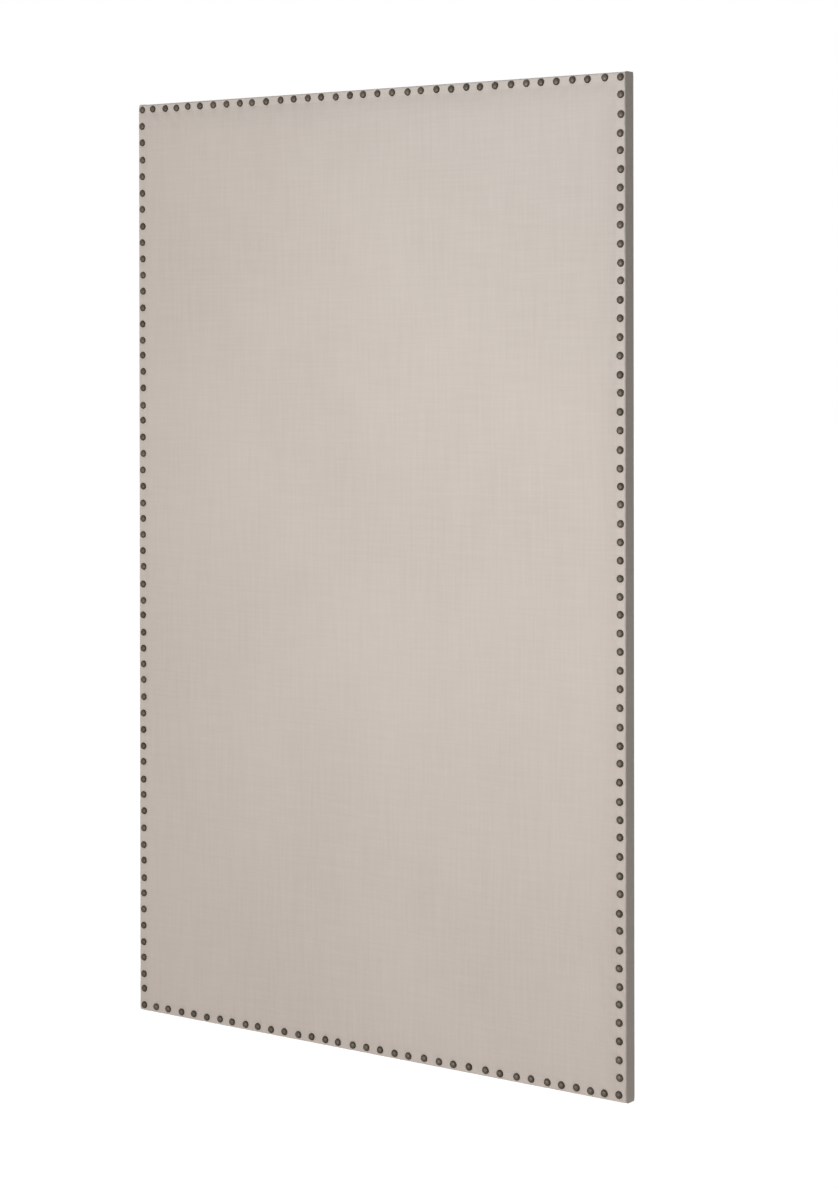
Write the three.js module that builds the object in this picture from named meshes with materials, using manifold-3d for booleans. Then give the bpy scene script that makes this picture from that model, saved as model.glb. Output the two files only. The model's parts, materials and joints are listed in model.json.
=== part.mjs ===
// Memo board: linen stretched over a padded cork panel in a mitred pine frame, edged all round with
// domed nails, closed behind with kraft paper and hung by two strap hangers with D rings.
//
// Millimetres. In the finished part +Z is up, the front faces -Y and the wall lies towards +Y. The
// origin is on the wall plane, midway between the two hanger pivots.
// Everything is drawn in elevation first: x to the right, y up, z from the wall plane towards the
// room. The last group turns that drawing upright.

import * as THREE from "three";
import { mergeVertices } from "three/addons/utils/BufferGeometryUtils.js";
import Module from "manifold-3d";

// Driving dimensions of the whole board
const boardWidth = 762;
const boardHeight = 1219.2;
const hangerDrop = 300; // from the top edge down to the hanger pivots
const clearance = 0.3; // left between pieces that lie against or pass through each other
const overrun = 1; // how far a cut runs past the face that it opens

// Pine frame
const frameDepth = 18;
const memberWidth = 42;
const rabbetWidth = 14;
const crossbarWidth = 45;
const housingDepth = 8; // how far the crossbar's ends run into the stiles
const blockLeg = 70;
const blockTip = 10; // blunt end of a corner block's sharp corners

// Panels in the rabbet
const backerThickness = 3;
const corkThickness = 6;

// Linen and padding
const linenThickness = 0.8;
const arrisRadius = 1.4; // outside of the linen where it turns over an edge
const flangeWidth = 32; // strip of linen turned over the back
const crownWidth = 40; // from the flat strip under the nails to the flat middle
const crownRise = 2;
const crownCornerRadius = 36;
const crownInsetShares = [0, 0.15, 0.42, 1]; // places up the crown's slope, outside to inside
const crownRiseShares = [0, 0.36, 0.76, 1]; // height reached at each of those places

// Nails
const nailInset = 6; // from the board's edge to the nails' centres
const nailSpacing = 22; // aimed at; each side takes the nearest whole number of equal steps
const headDiameter = 9.5;
const headHeight = 3;
const headRim = 0.5; // height of the rim below the dome
const shankWidth = 1.6;
const shankLength = 12;

// Kraft paper back and felt bumpers
const paperThickness = 0.6;
const paperInset = 6;
const bumperThickness = 5;
const bumperDiameter = 20;
const bumperEase = 0.8;

// Strap hangers
const strapThickness = 0.8;
const strapWidth = 15;
const strapEndMargin = 8; // from the lower screw down to the strap's end
const strapEndRadius = 6;
const eyeBendRadius = 1.2; // of the strap's centreline where it leaves the eye
const wireDiameter = 2.5;
const ringInnerWidth = 19;
const ringLegLength = 8; // straight sides of the D, from the bar to the round end
const ringCornerRadius = 2.4;
const ringRoom = 1.5; // between the hanging ring and the upper screw's head
const screwPitch = 16;

// Hanger screws
const screwDiameter = 3.5;
const screwLength = 15;
const screwTipLength = 3;
const screwHeadDiameter = 7;
const screwHeadHeight = 2.2;
const screwHeadRim = 0.9;

// Facets and steps on round forms
const headSides = 7;
const headRimShare = 0.74; // radius of the dome's middle ring over that of the rim
const headDomeShare = 0.66; // height of that ring above the rim over the dome's height
const cornerSteps = 2;
const screwSides = 8;
const bumperSides = 16;
const wireSides = 6;
const wireCornerSteps = 2;
const wireArcSteps = 10;
const eyeSteps = 8;
const eyeLeaveSteps = 2;
const strapEndSteps = 3;

// Sizes that follow from the ones above
const wrap = linenThickness + clearance; // from the board's edge to the frame's edge
const frameWidth = boardWidth - 2 * wrap;
const frameHeight = boardHeight - 2 * wrap;
const rabbetDepth = backerThickness + corkThickness + 2 * clearance;
const innerDepth = frameDepth - rabbetDepth; // wood left behind the rabbet
const panelWidth = frameWidth - 2 * (memberWidth - rabbetWidth + clearance);
const panelHeight = frameHeight - 2 * (memberWidth - rabbetWidth + clearance);
const frameOpeningWidth = frameWidth - 2 * memberWidth;
const marginWidth = 2 * nailInset; // flat strip with the nails along its middle
const memberCentreInset = wrap + memberWidth / 2; // from the board's edge
const holeWidth = shankWidth + 2 * clearance;
const boardCentreY = hangerDrop - boardHeight / 2;
const screwRadius = screwDiameter / 2;

// Faces in order from the wall to the room
const paperBack = bumperThickness + clearance;
const linenBack = paperBack + paperThickness + clearance;
const frameBack = linenBack + wrap;
const rabbetFloor = frameBack + innerDepth;
const backerBack = rabbetFloor + clearance;
const corkBack = backerBack + backerThickness + clearance;
const frameFront = frameBack + frameDepth;
const linenFront = frameFront + wrap; // the flat strip under the nails
const headBase = linenFront + clearance;

// Hanger sizes, taken from the strap's own face against the paper
const strapBase = paperBack - clearance;
const wireRadius = wireDiameter / 2;
const eyeInnerRadius = wireRadius + clearance;
const eyeCentre = strapThickness + eyeInnerRadius;
const strapTop = 2 * strapThickness + clearance; // the strap is folded double
const ringHalfWidth = ringInnerWidth / 2 + wireRadius;
const ringReach = ringLegLength + ringHalfWidth; // from the pivot to the middle of the round end
const ringLift = strapTop + clearance + wireRadius - eyeCentre;
const ringLean = Math.asin(Math.max(0, ringLift) / ringReach); // it lies on its own strap
const upperScrewDrop = ringReach + wireRadius + ringRoom + screwHeadDiameter / 2;
const screwDrops = [upperScrewDrop, upperScrewDrop + screwPitch]; // down from the pivot
const strapLength = upperScrewDrop + screwPitch + strapEndMargin; // from the pivot to its end
const screwSeat = strapTop + clearance; // underside of the screw heads
const screwTip = strapBase - screwSeat + screwLength; // from the wall plane

// Finishes
const pineColor = new THREE.Color("#d9bb8c");
const bronzeColor = new THREE.Color("#6d6257");
const pine = new THREE.MeshStandardMaterial({ color: pineColor, roughness: 0.75, metalness: 0 });
const pineWithNails = new THREE.MeshStandardMaterial({
  vertexColors: true,
  roughness: 0.55,
  metalness: 0.35,
});
const hardboard = new THREE.MeshStandardMaterial({ color: "#7a5a3c", roughness: 0.8, metalness: 0 });
const cork = new THREE.MeshStandardMaterial({ color: "#b98a5a", roughness: 0.95, metalness: 0 });
const batting = new THREE.MeshStandardMaterial({ color: "#f1eee8", roughness: 1, metalness: 0 });
const linen = new THREE.MeshStandardMaterial({ color: "#cdc4bb", roughness: 0.95, metalness: 0 });
const kraftPaper = new THREE.MeshStandardMaterial({ color: "#b08d63", roughness: 0.85, metalness: 0 });
const felt = new THREE.MeshStandardMaterial({ color: "#5b544d", roughness: 1, metalness: 0 });
const plate = new THREE.MeshStandardMaterial({ color: "#c3c3bf", roughness: 0.35, metalness: 1 });

const wasm = await Module();
wasm.setup();

/** Closed mesh to a solid that can be joined and cut. */
function toSolid(geometry) {
  const bare = geometry.clone();
  bare.deleteAttribute("normal");
  bare.deleteAttribute("uv");
  const welded = mergeVertices(bare);
  const vertProperties = new Float32Array(welded.attributes.position.array);
  const triVerts = new Uint32Array(welded.index.array);
  return new wasm.Manifold(new wasm.Mesh({ numProp: 3, vertProperties, triVerts }));
}

/** Solid back to a mesh with flat faces. */
function toGeometry(solid) {
  const { vertProperties, triVerts } = solid.getMesh();
  const welded = new THREE.BufferGeometry();
  welded.setAttribute("position", new THREE.BufferAttribute(vertProperties, 3));
  welded.setIndex(new THREE.BufferAttribute(triVerts, 1));
  const geometry = welded.toNonIndexed();
  geometry.computeVertexNormals();
  return geometry;
}

/** Geometry as a solid with the cutters taken out of it. */
function carve(geometry, cutters) {
  return cutters.reduce((left, cutter) => left.subtract(toSolid(cutter)), toSolid(geometry));
}

/** Box from its lowest and highest corners. */
function boxBetween(low, high) {
  const size = high.map((value, axis) => value - low[axis]);
  const middle = high.map((value, axis) => (value + low[axis]) / 2);
  return new THREE.BoxGeometry(...size).translate(...middle);
}

/** Square prism that clears a nail's shank, standing along z. */
function shankCutter(x, y, low, high) {
  const half = holeWidth / 2;
  return boxBetween([x - half, y - half, low], [x + half, y + half, high]);
}

/** Round prism that clears a hanger screw, standing along z. */
function screwCutter(x, y, low, high) {
  const radius = screwRadius + clearance;
  return new THREE.CylinderGeometry(radius, radius, high - low, screwSides)
    .rotateX(Math.PI / 2)
    .translate(x, y, (low + high) / 2);
}

/** Named mesh, added to its group. */
function addPiece(group, name, geometry, material) {
  const mesh = new THREE.Mesh(geometry, material);
  mesh.name = name;
  group.add(mesh);
  return mesh;
}

/** Ring of points round a rectangle with rounded corners, anticlockwise, at one height. */
function rectangleRing(width, height, radius, z) {
  const ring = [];
  const quarters = [[1, 1], [-1, 1], [-1, -1], [1, -1]];
  quarters.forEach(([signX, signY], quarter) => {
    for (let step = 0; step <= cornerSteps; step++) {
      const angle = ((quarter + step / cornerSteps) * Math.PI) / 2;
      const x = signX * (width / 2 - radius) + radius * Math.cos(angle);
      const y = signY * (height / 2 - radius) + radius * Math.sin(angle);
      ring.push(new THREE.Vector3(x, y, z));
    }
  });
  return ring;
}

/** Closed body through rings of equal count, each convex, with a cap on the first and the last. */
function loft(rings) {
  const count = rings[0].length;
  const positions = rings.flat().flatMap((point) => point.toArray());
  const index = [];
  for (let level = 0; level < rings.length - 1; level++) {
    for (let side = 0; side < count; side++) {
      const next = (side + 1) % count;
      const a = level * count + side;
      const b = level * count + next;
      index.push(a, b, b + count, a, b + count, a + count);
    }
  }
  const last = (rings.length - 1) * count;
  for (let side = 1; side < count - 1; side++) {
    index.push(0, side + 1, side, last, last + side, last + side + 1);
  }
  const geometry = new THREE.BufferGeometry();
  geometry.setAttribute("position", new THREE.Float32BufferAttribute(positions, 3));
  geometry.setIndex(index);
  return geometry;
}

/** Nail places along one side, measured from its middle, with both corner nails. */
function nailPlaces(sideLength) {
  const run = sideLength - 2 * nailInset;
  const gaps = Math.round(run / nailSpacing);
  return Array.from({ length: gaps + 1 }, (_, step) => (step / gaps - 0.5) * run);
}

/** One nail with its axis along z: domed head over a square shank. */
function nailSolid(x, y) {
  const radius = headDiameter / 2;
  const domeHeight = headHeight - headRim;
  const profile = [
    new THREE.Vector2(0, 0),
    new THREE.Vector2(radius, 0),
    new THREE.Vector2(radius * headRimShare, headRim + domeHeight * headDomeShare),
    new THREE.Vector2(0, headHeight),
  ];
  const head = new THREE.LatheGeometry(profile, headSides)
    .rotateX(Math.PI / 2)
    .translate(x, y, headBase);
  const half = shankWidth / 2;
  const shank = boxBetween(
    [x - half, y - half, headBase - shankLength],
    [x + half, y + half, headBase + headRim],
  );
  return toSolid(head).add(toSolid(shank));
}

/**
 * One side of the frame with its row of nails. It lies along y, its outer edge is at x = 0 and it is
 * as wide as x grows. Both ends are mitred.
 */
function memberGeometry(length, nails, cutters) {
  const tongue = memberWidth - rabbetWidth;
  const profile = new THREE.Shape([
    new THREE.Vector2(0, frameBack),
    new THREE.Vector2(memberWidth, frameBack),
    new THREE.Vector2(memberWidth, rabbetFloor),
    new THREE.Vector2(tongue, rabbetFloor),
    new THREE.Vector2(tongue, frameFront),
    new THREE.Vector2(0, frameFront),
  ]);
  const bar = new THREE.ExtrudeGeometry(profile, { depth: 1, bevelEnabled: false });
  bar.rotateX(Math.PI / 2);
  const mitreSetback = clearance * Math.SQRT1_2;
  const position = bar.attributes.position;
  for (let i = 0; i < position.count; i++) {
    const reach = length / 2 - mitreSetback - position.getX(i);
    position.setY(i, (1 + 2 * position.getY(i)) * reach);
  }
  const x = nailInset - wrap;
  const wood = carve(bar, cutters);
  const geometry = toGeometry(nails.reduce((left, y) => left.add(nailSolid(x, y)), wood));
  paintNails(geometry);
  return geometry;
}

/** Bronze on every face in front of the wood, pine on the rest. */
function paintNails(geometry) {
  const position = geometry.attributes.position;
  const colors = [];
  for (let i = 0; i < position.count; i += 3) {
    const middle = (position.getZ(i) + position.getZ(i + 1) + position.getZ(i + 2)) / 3;
    const color = middle > frameFront ? bronzeColor : pineColor;
    for (let corner = 0; corner < 3; corner++) {
      colors.push(...color.toArray());
    }
  }
  geometry.setAttribute("color", new THREE.Float32BufferAttribute(colors, 3));
}

/** Stile: every nail of the side, a housing for the crossbar and pilot holes for the hanger. */
function stileGeometry(upSign) {
  const halfBar = crossbarWidth / 2 + clearance;
  const housing = boxBetween(
    [memberWidth - housingDepth - clearance, -halfBar, frameBack - overrun],
    [memberWidth + overrun, halfBar, rabbetFloor + overrun],
  );
  const pilots = screwDrops.map((drop) => {
    const y = upSign * (-drop - boardCentreY);
    return screwCutter(memberWidth / 2, y, frameBack - overrun, screwTip + clearance);
  });
  return memberGeometry(frameHeight, nailPlaces(boardHeight), [housing, ...pilots]);
}

/** Rail: the nails between the corners, and room at both mitres for the corner nails' shanks. */
function railGeometry() {
  const nails = nailPlaces(boardWidth);
  const ends = [nails[0], nails[nails.length - 1]];
  const low = headBase - shankLength - clearance;
  const notches = ends.map((y) => shankCutter(nailInset - wrap, y, low, headBase));
  return memberGeometry(frameWidth, nails.slice(1, -1), notches);
}

/** Corner block: a right triangle with blunt tips, its square corner at the origin. */
function blockGeometry() {
  const outline = new THREE.Shape([
    new THREE.Vector2(0, 0),
    new THREE.Vector2(blockLeg, 0),
    new THREE.Vector2(blockLeg, blockTip),
    new THREE.Vector2(blockTip, blockLeg),
    new THREE.Vector2(0, blockLeg),
  ]);
  return new THREE.ExtrudeGeometry(outline, { depth: innerDepth, bevelEnabled: false });
}

/** Ring at a given distance inside the board's edge. */
function insetRing(inset, radius, z) {
  return rectangleRing(boardWidth - 2 * inset, boardHeight - 2 * inset, radius, z);
}

/** Rings up the padded crown, from the flat strip to the flat middle, lowered by sink. */
function crownRings(sink, first) {
  return crownInsetShares.slice(first).map((share, place) => {
    const rise = crownRise * crownRiseShares[first + place];
    const radius = arrisRadius + crownCornerRadius * share;
    return insetRing(marginWidth + crownWidth * share, radius, linenFront + rise - sink);
  });
}

/** Skin of the wrapped board at a depth below the linen's outer face, filled solid. */
function wrappedBody(skin) {
  const radius = arrisRadius - skin;
  const back = linenBack + skin;
  const front = linenFront - skin;
  const turn = radius * (1 - Math.SQRT1_2);
  return loft([
    insetRing(skin + radius, radius, back),
    insetRing(skin + turn, radius, back + turn),
    insetRing(skin, radius, back + radius),
    insetRing(skin, radius, front - radius),
    insetRing(skin + turn, radius, front - turn),
    insetRing(skin + radius, radius, front),
    ...crownRings(skin, 0),
  ]);
}

/** Linen: one skin over the front, the four sides and a strip of the back, mitred at its corners. */
function linenGeometry() {
  const holeLow = linenFront - linenThickness - overrun;
  const holeHigh = linenFront + overrun;
  const sideX = boardWidth / 2 - nailInset;
  const sideY = boardHeight / 2 - nailInset;
  const holes = [];
  for (const sign of [-1, 1]) {
    for (const y of nailPlaces(boardHeight)) {
      holes.push(shankCutter(sign * sideX, y, holeLow, holeHigh));
    }
    for (const x of nailPlaces(boardWidth).slice(1, -1)) {
      holes.push(shankCutter(x, sign * sideY, holeLow, holeHigh));
    }
  }
  const backLow = linenBack - overrun;
  const backHigh = linenBack + linenThickness + clearance / 2;
  const openingX = boardWidth / 2 - flangeWidth;
  const openingY = boardHeight / 2 - flangeWidth;
  const opening = boxBetween([-openingX, -openingY, backLow], [openingX, openingY, backHigh]);
  const foldRun = (flangeWidth - arrisRadius) * Math.SQRT2;
  const folds = [];
  for (const signX of [-1, 1]) {
    for (const signY of [-1, 1]) {
      const inset = (flangeWidth + arrisRadius) / 2;
      folds.push(
        new THREE.BoxGeometry(foldRun, clearance, backHigh - backLow)
          .rotateZ((signX * signY * Math.PI) / 4)
          .translate(
            signX * (boardWidth / 2 - inset),
            signY * (boardHeight / 2 - inset),
            (backLow + backHigh) / 2,
          ),
      );
    }
  }
  const screwHoles = hangerScrewCutters(backLow, backHigh);
  const inside = wrappedBody(linenThickness);
  const cutters = [inside, opening, ...folds, ...screwHoles, ...holes];
  return toGeometry(carve(wrappedBody(0), cutters));
}

/** Clearance holes for the four hanger screws, in the board's own centred frame. */
function hangerScrewCutters(low, high) {
  const x = boardWidth / 2 - memberCentreInset;
  return [-x, x].flatMap((place) =>
    screwDrops.map((drop) => screwCutter(place, -drop - boardCentreY, low, high)),
  );
}

/** Batting: fills the crown between the frame and the linen, thin at its edge. */
function paddingGeometry() {
  const rings = crownRings(linenThickness + clearance, 1);
  const edge = rings[0].map((point) => new THREE.Vector3(point.x, point.y, frameFront + clearance));
  return loft([edge, ...rings]);
}

/** Felt bumper standing on the wall plane. */
function bumperGeometry() {
  const radius = bumperDiameter / 2;
  const profile = [
    new THREE.Vector2(0, 0),
    new THREE.Vector2(radius - bumperEase, 0),
    new THREE.Vector2(radius, bumperEase),
    new THREE.Vector2(radius, bumperThickness),
    new THREE.Vector2(0, bumperThickness),
  ];
  return new THREE.LatheGeometry(profile, bumperSides).rotateX(Math.PI / 2);
}

/** Middle line of the folded strip in side view, as [y, z, heading] from its hidden end. */
function strapMiddle() {
  const half = strapThickness / 2;
  const eyeRadius = eyeInnerRadius + half;
  const outerLayer = strapTop - half;
  const fall = eyeCentre + eyeRadius - outerLayer; // from the eye's far side to the outer layer
  const leaveAngle = Math.acos(1 - fall / (eyeRadius + eyeBendRadius));
  const middle = [[-strapLength, half, 0]];
  for (let step = 0; step <= eyeSteps; step++) {
    const angle = ((Math.PI + leaveAngle) * step) / eyeSteps;
    middle.push([eyeRadius * Math.sin(angle), eyeCentre - eyeRadius * Math.cos(angle), angle]);
  }
  const bendY = -(eyeRadius + eyeBendRadius) * Math.sin(leaveAngle);
  const bendZ = outerLayer + eyeBendRadius;
  for (let step = 1; step <= eyeLeaveSteps; step++) {
    const angle = leaveAngle * (1 - step / eyeLeaveSteps);
    const y = bendY + eyeBendRadius * Math.sin(angle);
    middle.push([y, bendZ - eyeBendRadius * Math.cos(angle), Math.PI + angle]);
  }
  middle.push([-strapLength, outerLayer, Math.PI]);
  return middle;
}

/** Strap's front view with its rounded lower end, stamped through both layers. */
function strapStamp() {
  const outerX = strapWidth / 2 + overrun;
  const cornerX = strapWidth / 2 - strapEndRadius;
  const cornerY = strapEndRadius - strapLength;
  const top = eyeCentre + overrun;
  const blank = new THREE.Shape();
  blank.moveTo(-outerX, top);
  blank.lineTo(-outerX, cornerY);
  blank.lineTo(-strapWidth / 2, cornerY);
  blank.absarc(-cornerX, cornerY, strapEndRadius, Math.PI, 1.5 * Math.PI, false);
  blank.absarc(cornerX, cornerY, strapEndRadius, 1.5 * Math.PI, 2 * Math.PI, false);
  blank.lineTo(outerX, cornerY);
  blank.lineTo(outerX, top);
  return new THREE.ExtrudeGeometry(blank, {
    depth: 2 * (eyeCentre + overrun),
    bevelEnabled: false,
    curveSegments: strapEndSteps,
  }).translate(0, 0, -overrun);
}

/** Strap of a hanger: one strip folded round the ring's bar and back on itself, with two holes. */
function strapGeometry() {
  const offset = (side) =>
    strapMiddle().map(([y, z, heading]) => {
      const across = (side * strapThickness) / 2;
      return new THREE.Vector2(y - across * Math.sin(heading), z + across * Math.cos(heading));
    });
  const outline = new THREE.Shape([...offset(-1), ...offset(1).reverse()]);
  const strip = new THREE.ExtrudeGeometry(outline, { depth: strapWidth, bevelEnabled: false })
    .rotateY(Math.PI / 2)
    .rotateX(Math.PI / 2)
    .translate(-strapWidth / 2, 0, 0);
  const holes = screwDrops.map((drop) => screwCutter(0, -drop, -overrun, strapTop + overrun));
  return toGeometry(carve(strip, holes).intersect(toSolid(strapStamp())));
}

/** Outline of the D, from one end of its bar round to the other, as points with their headings. */
function ringPath() {
  const end = clearance / 2; // the bar's butt joint, hidden in the strap's eye
  const points = [[end, 0, 0]];
  const turnX = ringHalfWidth - ringCornerRadius;
  for (let step = 0; step <= wireCornerSteps; step++) {
    const angle = ((Math.PI / 2) * step) / wireCornerSteps;
    const x = turnX + ringCornerRadius * Math.sin(angle);
    points.push([x, -ringCornerRadius * (1 - Math.cos(angle)), -angle]);
  }
  for (let step = 0; step <= wireArcSteps; step++) {
    const angle = (Math.PI * step) / wireArcSteps;
    const x = ringHalfWidth * Math.cos(angle);
    points.push([x, -ringLegLength - ringHalfWidth * Math.sin(angle), -Math.PI / 2 - angle]);
  }
  for (let step = wireCornerSteps; step >= 0; step--) {
    const angle = ((Math.PI / 2) * step) / wireCornerSteps;
    const x = -turnX - ringCornerRadius * Math.sin(angle);
    points.push([x, -ringCornerRadius * (1 - Math.cos(angle)), angle - 2 * Math.PI]);
  }
  points.push([-end, 0, -2 * Math.PI]);
  return points;
}

/** D ring: round wire along that outline, its bar on the x axis and its round end hanging down. */
function ringGeometry() {
  const rings = ringPath().map(([x, y, heading]) => {
    const section = [];
    for (let side = 0; side < wireSides; side++) {
      const angle = (2 * Math.PI * (side + 0.5)) / wireSides;
      const out = wireRadius * Math.cos(angle);
      const z = wireRadius * Math.sin(angle);
      section.push(
        new THREE.Vector3(x - out * Math.sin(heading), y + out * Math.cos(heading), z),
      );
    }
    return section;
  });
  return loft(rings);
}

/** Hanger screw with its axis along z, its head's underside at z = 0 and its tip below. */
function screwGeometry() {
  const headRadius = screwHeadDiameter / 2;
  const profile = [
    new THREE.Vector2(0, -screwLength),
    new THREE.Vector2(screwRadius, -screwLength + screwTipLength),
    new THREE.Vector2(screwRadius, 0),
    new THREE.Vector2(headRadius, 0),
    new THREE.Vector2(headRadius, screwHeadRim),
    new THREE.Vector2(0, screwHeadHeight),
  ];
  return new THREE.LatheGeometry(profile, screwSides).rotateX(Math.PI / 2);
}

// Frame
const board = new THREE.Group();
board.position.y = boardCentreY;

const stileLeft = addPiece(board, "stile_left", stileGeometry(1), pineWithNails);
stileLeft.position.x = -frameWidth / 2;
const stileRight = addPiece(board, "stile_right", stileGeometry(-1), pineWithNails);
stileRight.position.x = frameWidth / 2;
stileRight.rotation.z = Math.PI;
const railTop = addPiece(board, "rail_top", railGeometry(), pineWithNails);
railTop.position.y = frameHeight / 2;
railTop.rotation.z = -Math.PI / 2;
const railBottom = addPiece(board, "rail_bottom", railGeometry(), pineWithNails);
railBottom.position.y = -frameHeight / 2;
railBottom.rotation.z = Math.PI / 2;

const crossbarLength = frameOpeningWidth + 2 * housingDepth;
const crossbar = new THREE.BoxGeometry(crossbarLength, crossbarWidth, innerDepth);
addPiece(board, "crossbar", crossbar, pine).position.z = frameBack + innerDepth / 2;

const blockCorners = [
  ["corner_block_lower_left", -1, -1, 0],
  ["corner_block_lower_right", 1, -1, 1],
  ["corner_block_upper_right", 1, 1, 2],
  ["corner_block_upper_left", -1, 1, 3],
];
for (const [name, signX, signY, quarter] of blockCorners) {
  const block = addPiece(board, name, blockGeometry(), pine);
  const x = frameWidth / 2 - memberWidth - clearance;
  const y = frameHeight / 2 - memberWidth - clearance;
  block.position.set(signX * x, signY * y, frameBack);
  block.rotation.z = (quarter * Math.PI) / 2;
}

// Panels, padding and linen
const backer = new THREE.BoxGeometry(panelWidth, panelHeight, backerThickness);
addPiece(board, "backer_board", backer, hardboard).position.z = backerBack + backerThickness / 2;
const corkPanel = new THREE.BoxGeometry(panelWidth, panelHeight, corkThickness);
addPiece(board, "cork_panel", corkPanel, cork).position.z = corkBack + corkThickness / 2;
addPiece(board, "padding", paddingGeometry(), batting);
addPiece(board, "linen_cover", linenGeometry(), linen);

// Back
const paperX = boardWidth / 2 - paperInset;
const paperY = boardHeight / 2 - paperInset;
const sheet = boxBetween([-paperX, -paperY, paperBack], [paperX, paperY, paperBack + paperThickness]);
const paperHoles = hangerScrewCutters(paperBack - overrun, paperBack + paperThickness + overrun);
addPiece(board, "dust_cover", toGeometry(carve(sheet, paperHoles)), kraftPaper);

const bumperCorners = [
  ["bumper_lower_left", -1, -1],
  ["bumper_lower_right", 1, -1],
  ["bumper_upper_right", 1, 1],
  ["bumper_upper_left", -1, 1],
];
for (const [name, signX, signY] of bumperCorners) {
  const bumper = addPiece(board, name, bumperGeometry(), felt);
  bumper.position.x = signX * (boardWidth / 2 - memberCentreInset);
  bumper.position.y = signY * (boardHeight / 2 - memberCentreInset);
}

// Hangers, drawn with z away from the paper, so each group is turned to face the wall
const memoBoard = new THREE.Group();
memoBoard.add(board);
for (const [side, sign] of [["left", -1], ["right", 1]]) {
  const hanger = new THREE.Group();
  hanger.position.set(sign * (boardWidth / 2 - memberCentreInset), 0, strapBase);
  hanger.rotation.y = Math.PI;
  addPiece(hanger, `hanger_strap_${side}`, strapGeometry(), plate);
  const ring = addPiece(hanger, `hanger_ring_${side}`, ringGeometry(), plate);
  ring.position.z = eyeCentre;
  ring.rotation.x = -ringLean;
  ["upper", "lower"].forEach((place, row) => {
    const screw = addPiece(hanger, `hanger_screw_${side}_${place}`, screwGeometry(), plate);
    screw.position.set(0, -screwDrops[row], screwSeat);
  });
  memoBoard.add(hanger);
}

memoBoard.rotation.x = Math.PI / 2;

export default memoBoard;
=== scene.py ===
"""Looks of the memo board: linen over a padded cork panel, edged all round with antiqued nails.

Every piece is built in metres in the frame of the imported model. The front faces -Y, +Z is up, and
the wall plane is y = 0, so a place towards the room has a negative y.
"""

import json
import logging
import math
import random
from contextlib import contextmanager
from dataclasses import dataclass, field
from enum import Enum
from functools import partial
from typing import Any, Callable, Iterator

import bmesh
import bpy
import numpy as np
from mathutils import Matrix, Quaternion, Vector
from mathutils.geometry import delaunay_2d_cdt


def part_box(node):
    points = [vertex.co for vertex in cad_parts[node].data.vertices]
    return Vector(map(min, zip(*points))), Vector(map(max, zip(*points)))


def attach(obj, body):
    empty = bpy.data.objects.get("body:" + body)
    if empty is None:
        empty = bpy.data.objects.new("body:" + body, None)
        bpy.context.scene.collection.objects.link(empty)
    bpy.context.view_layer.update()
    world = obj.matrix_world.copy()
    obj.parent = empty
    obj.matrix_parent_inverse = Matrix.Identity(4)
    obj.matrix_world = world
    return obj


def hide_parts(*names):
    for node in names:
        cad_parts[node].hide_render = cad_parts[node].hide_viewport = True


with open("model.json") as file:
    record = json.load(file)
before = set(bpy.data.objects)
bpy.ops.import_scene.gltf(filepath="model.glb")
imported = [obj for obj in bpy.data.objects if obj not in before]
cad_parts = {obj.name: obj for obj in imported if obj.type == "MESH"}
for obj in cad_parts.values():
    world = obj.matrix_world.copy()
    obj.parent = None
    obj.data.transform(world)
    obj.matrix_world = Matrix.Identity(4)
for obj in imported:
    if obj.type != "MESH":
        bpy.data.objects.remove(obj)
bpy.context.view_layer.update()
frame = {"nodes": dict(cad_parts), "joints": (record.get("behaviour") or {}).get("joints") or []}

MM = 0.001
# Points closer than the first are merged, a face closer to a plane than the second lies in it,
# and the third is what counts as the same number in a triangulation
MERGE = 0.002 * MM
TOUCH = 0.001 * MM
SAME = 1e-9
# Long enough to pass through any sheet here
DRILL_LENGTH = 12 * MM
# How much further towards the room the real cloth's crown stands than its CAD node
CROWN_PROUD = 1 * MM
log = logging.getLogger("memo_board")

Object = bpy.types.Object
Material = bpy.types.Material
Tree = bpy.types.NodeTree
Socket = bpy.types.NodeSocket
Adder = Callable[..., Socket]
Test = Callable[[Vector], bool]
Profile = tuple[tuple[float, float], ...]


class Body(Enum):
    """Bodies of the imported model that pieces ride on."""

    BOARD = "board"
    LEFT_RING = "left_ring"
    RIGHT_RING = "right_ring"


class Element(Enum):
    """What an edit-mode selection is made of."""

    VERTEX = "VERT"
    EDGE = "EDGE"
    FACE = "FACE"


class Side(Enum):
    """Sides of the board, as turns of a top side about +Y."""

    TOP = 0
    RIGHT = 1
    BOTTOM = 2
    LEFT = 3


# CAD node of the frame's member on each side
MEMBERS = {
    Side.TOP: "rail_top",
    Side.RIGHT: "stile_right",
    Side.BOTTOM: "rail_bottom",
    Side.LEFT: "stile_left",
}


class Hand(Enum):
    """The two hangers, by their side of the board seen from the front."""

    LEFT = "left"
    RIGHT = "right"


# Colour and nodes


def linear(colour: str) -> tuple[float, float, float, float]:
    """Turn an sRGB hex colour into linear values.

    Args:
        colour: A string such as "#cfc6bd".

    Returns:
        Linear red, green and blue, and an alpha of 1.
    """
    shares = [int(colour[i : i + 2], 16) / 255 for i in (1, 3, 5)]
    red, green, blue = (
        s / 12.92 if s <= 0.04045 else ((s + 0.055) / 1.055) ** 2.4 for s in shares
    )
    return red, green, blue, 1.0


def feed(tree: Tree, node: bpy.types.Node, inputs: dict[int | str, Any]) -> None:
    """Set a node's inputs, or link those that are given another node's output.

    Args:
        tree: Node tree that holds the node.
        node: Node that is fed.
        inputs: Values and outputs by input name or number.
    """
    for key, value in inputs.items():
        if isinstance(value, Socket):
            tree.links.new(value, node.inputs[key])
        else:
            node.inputs[key].default_value = value


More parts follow.
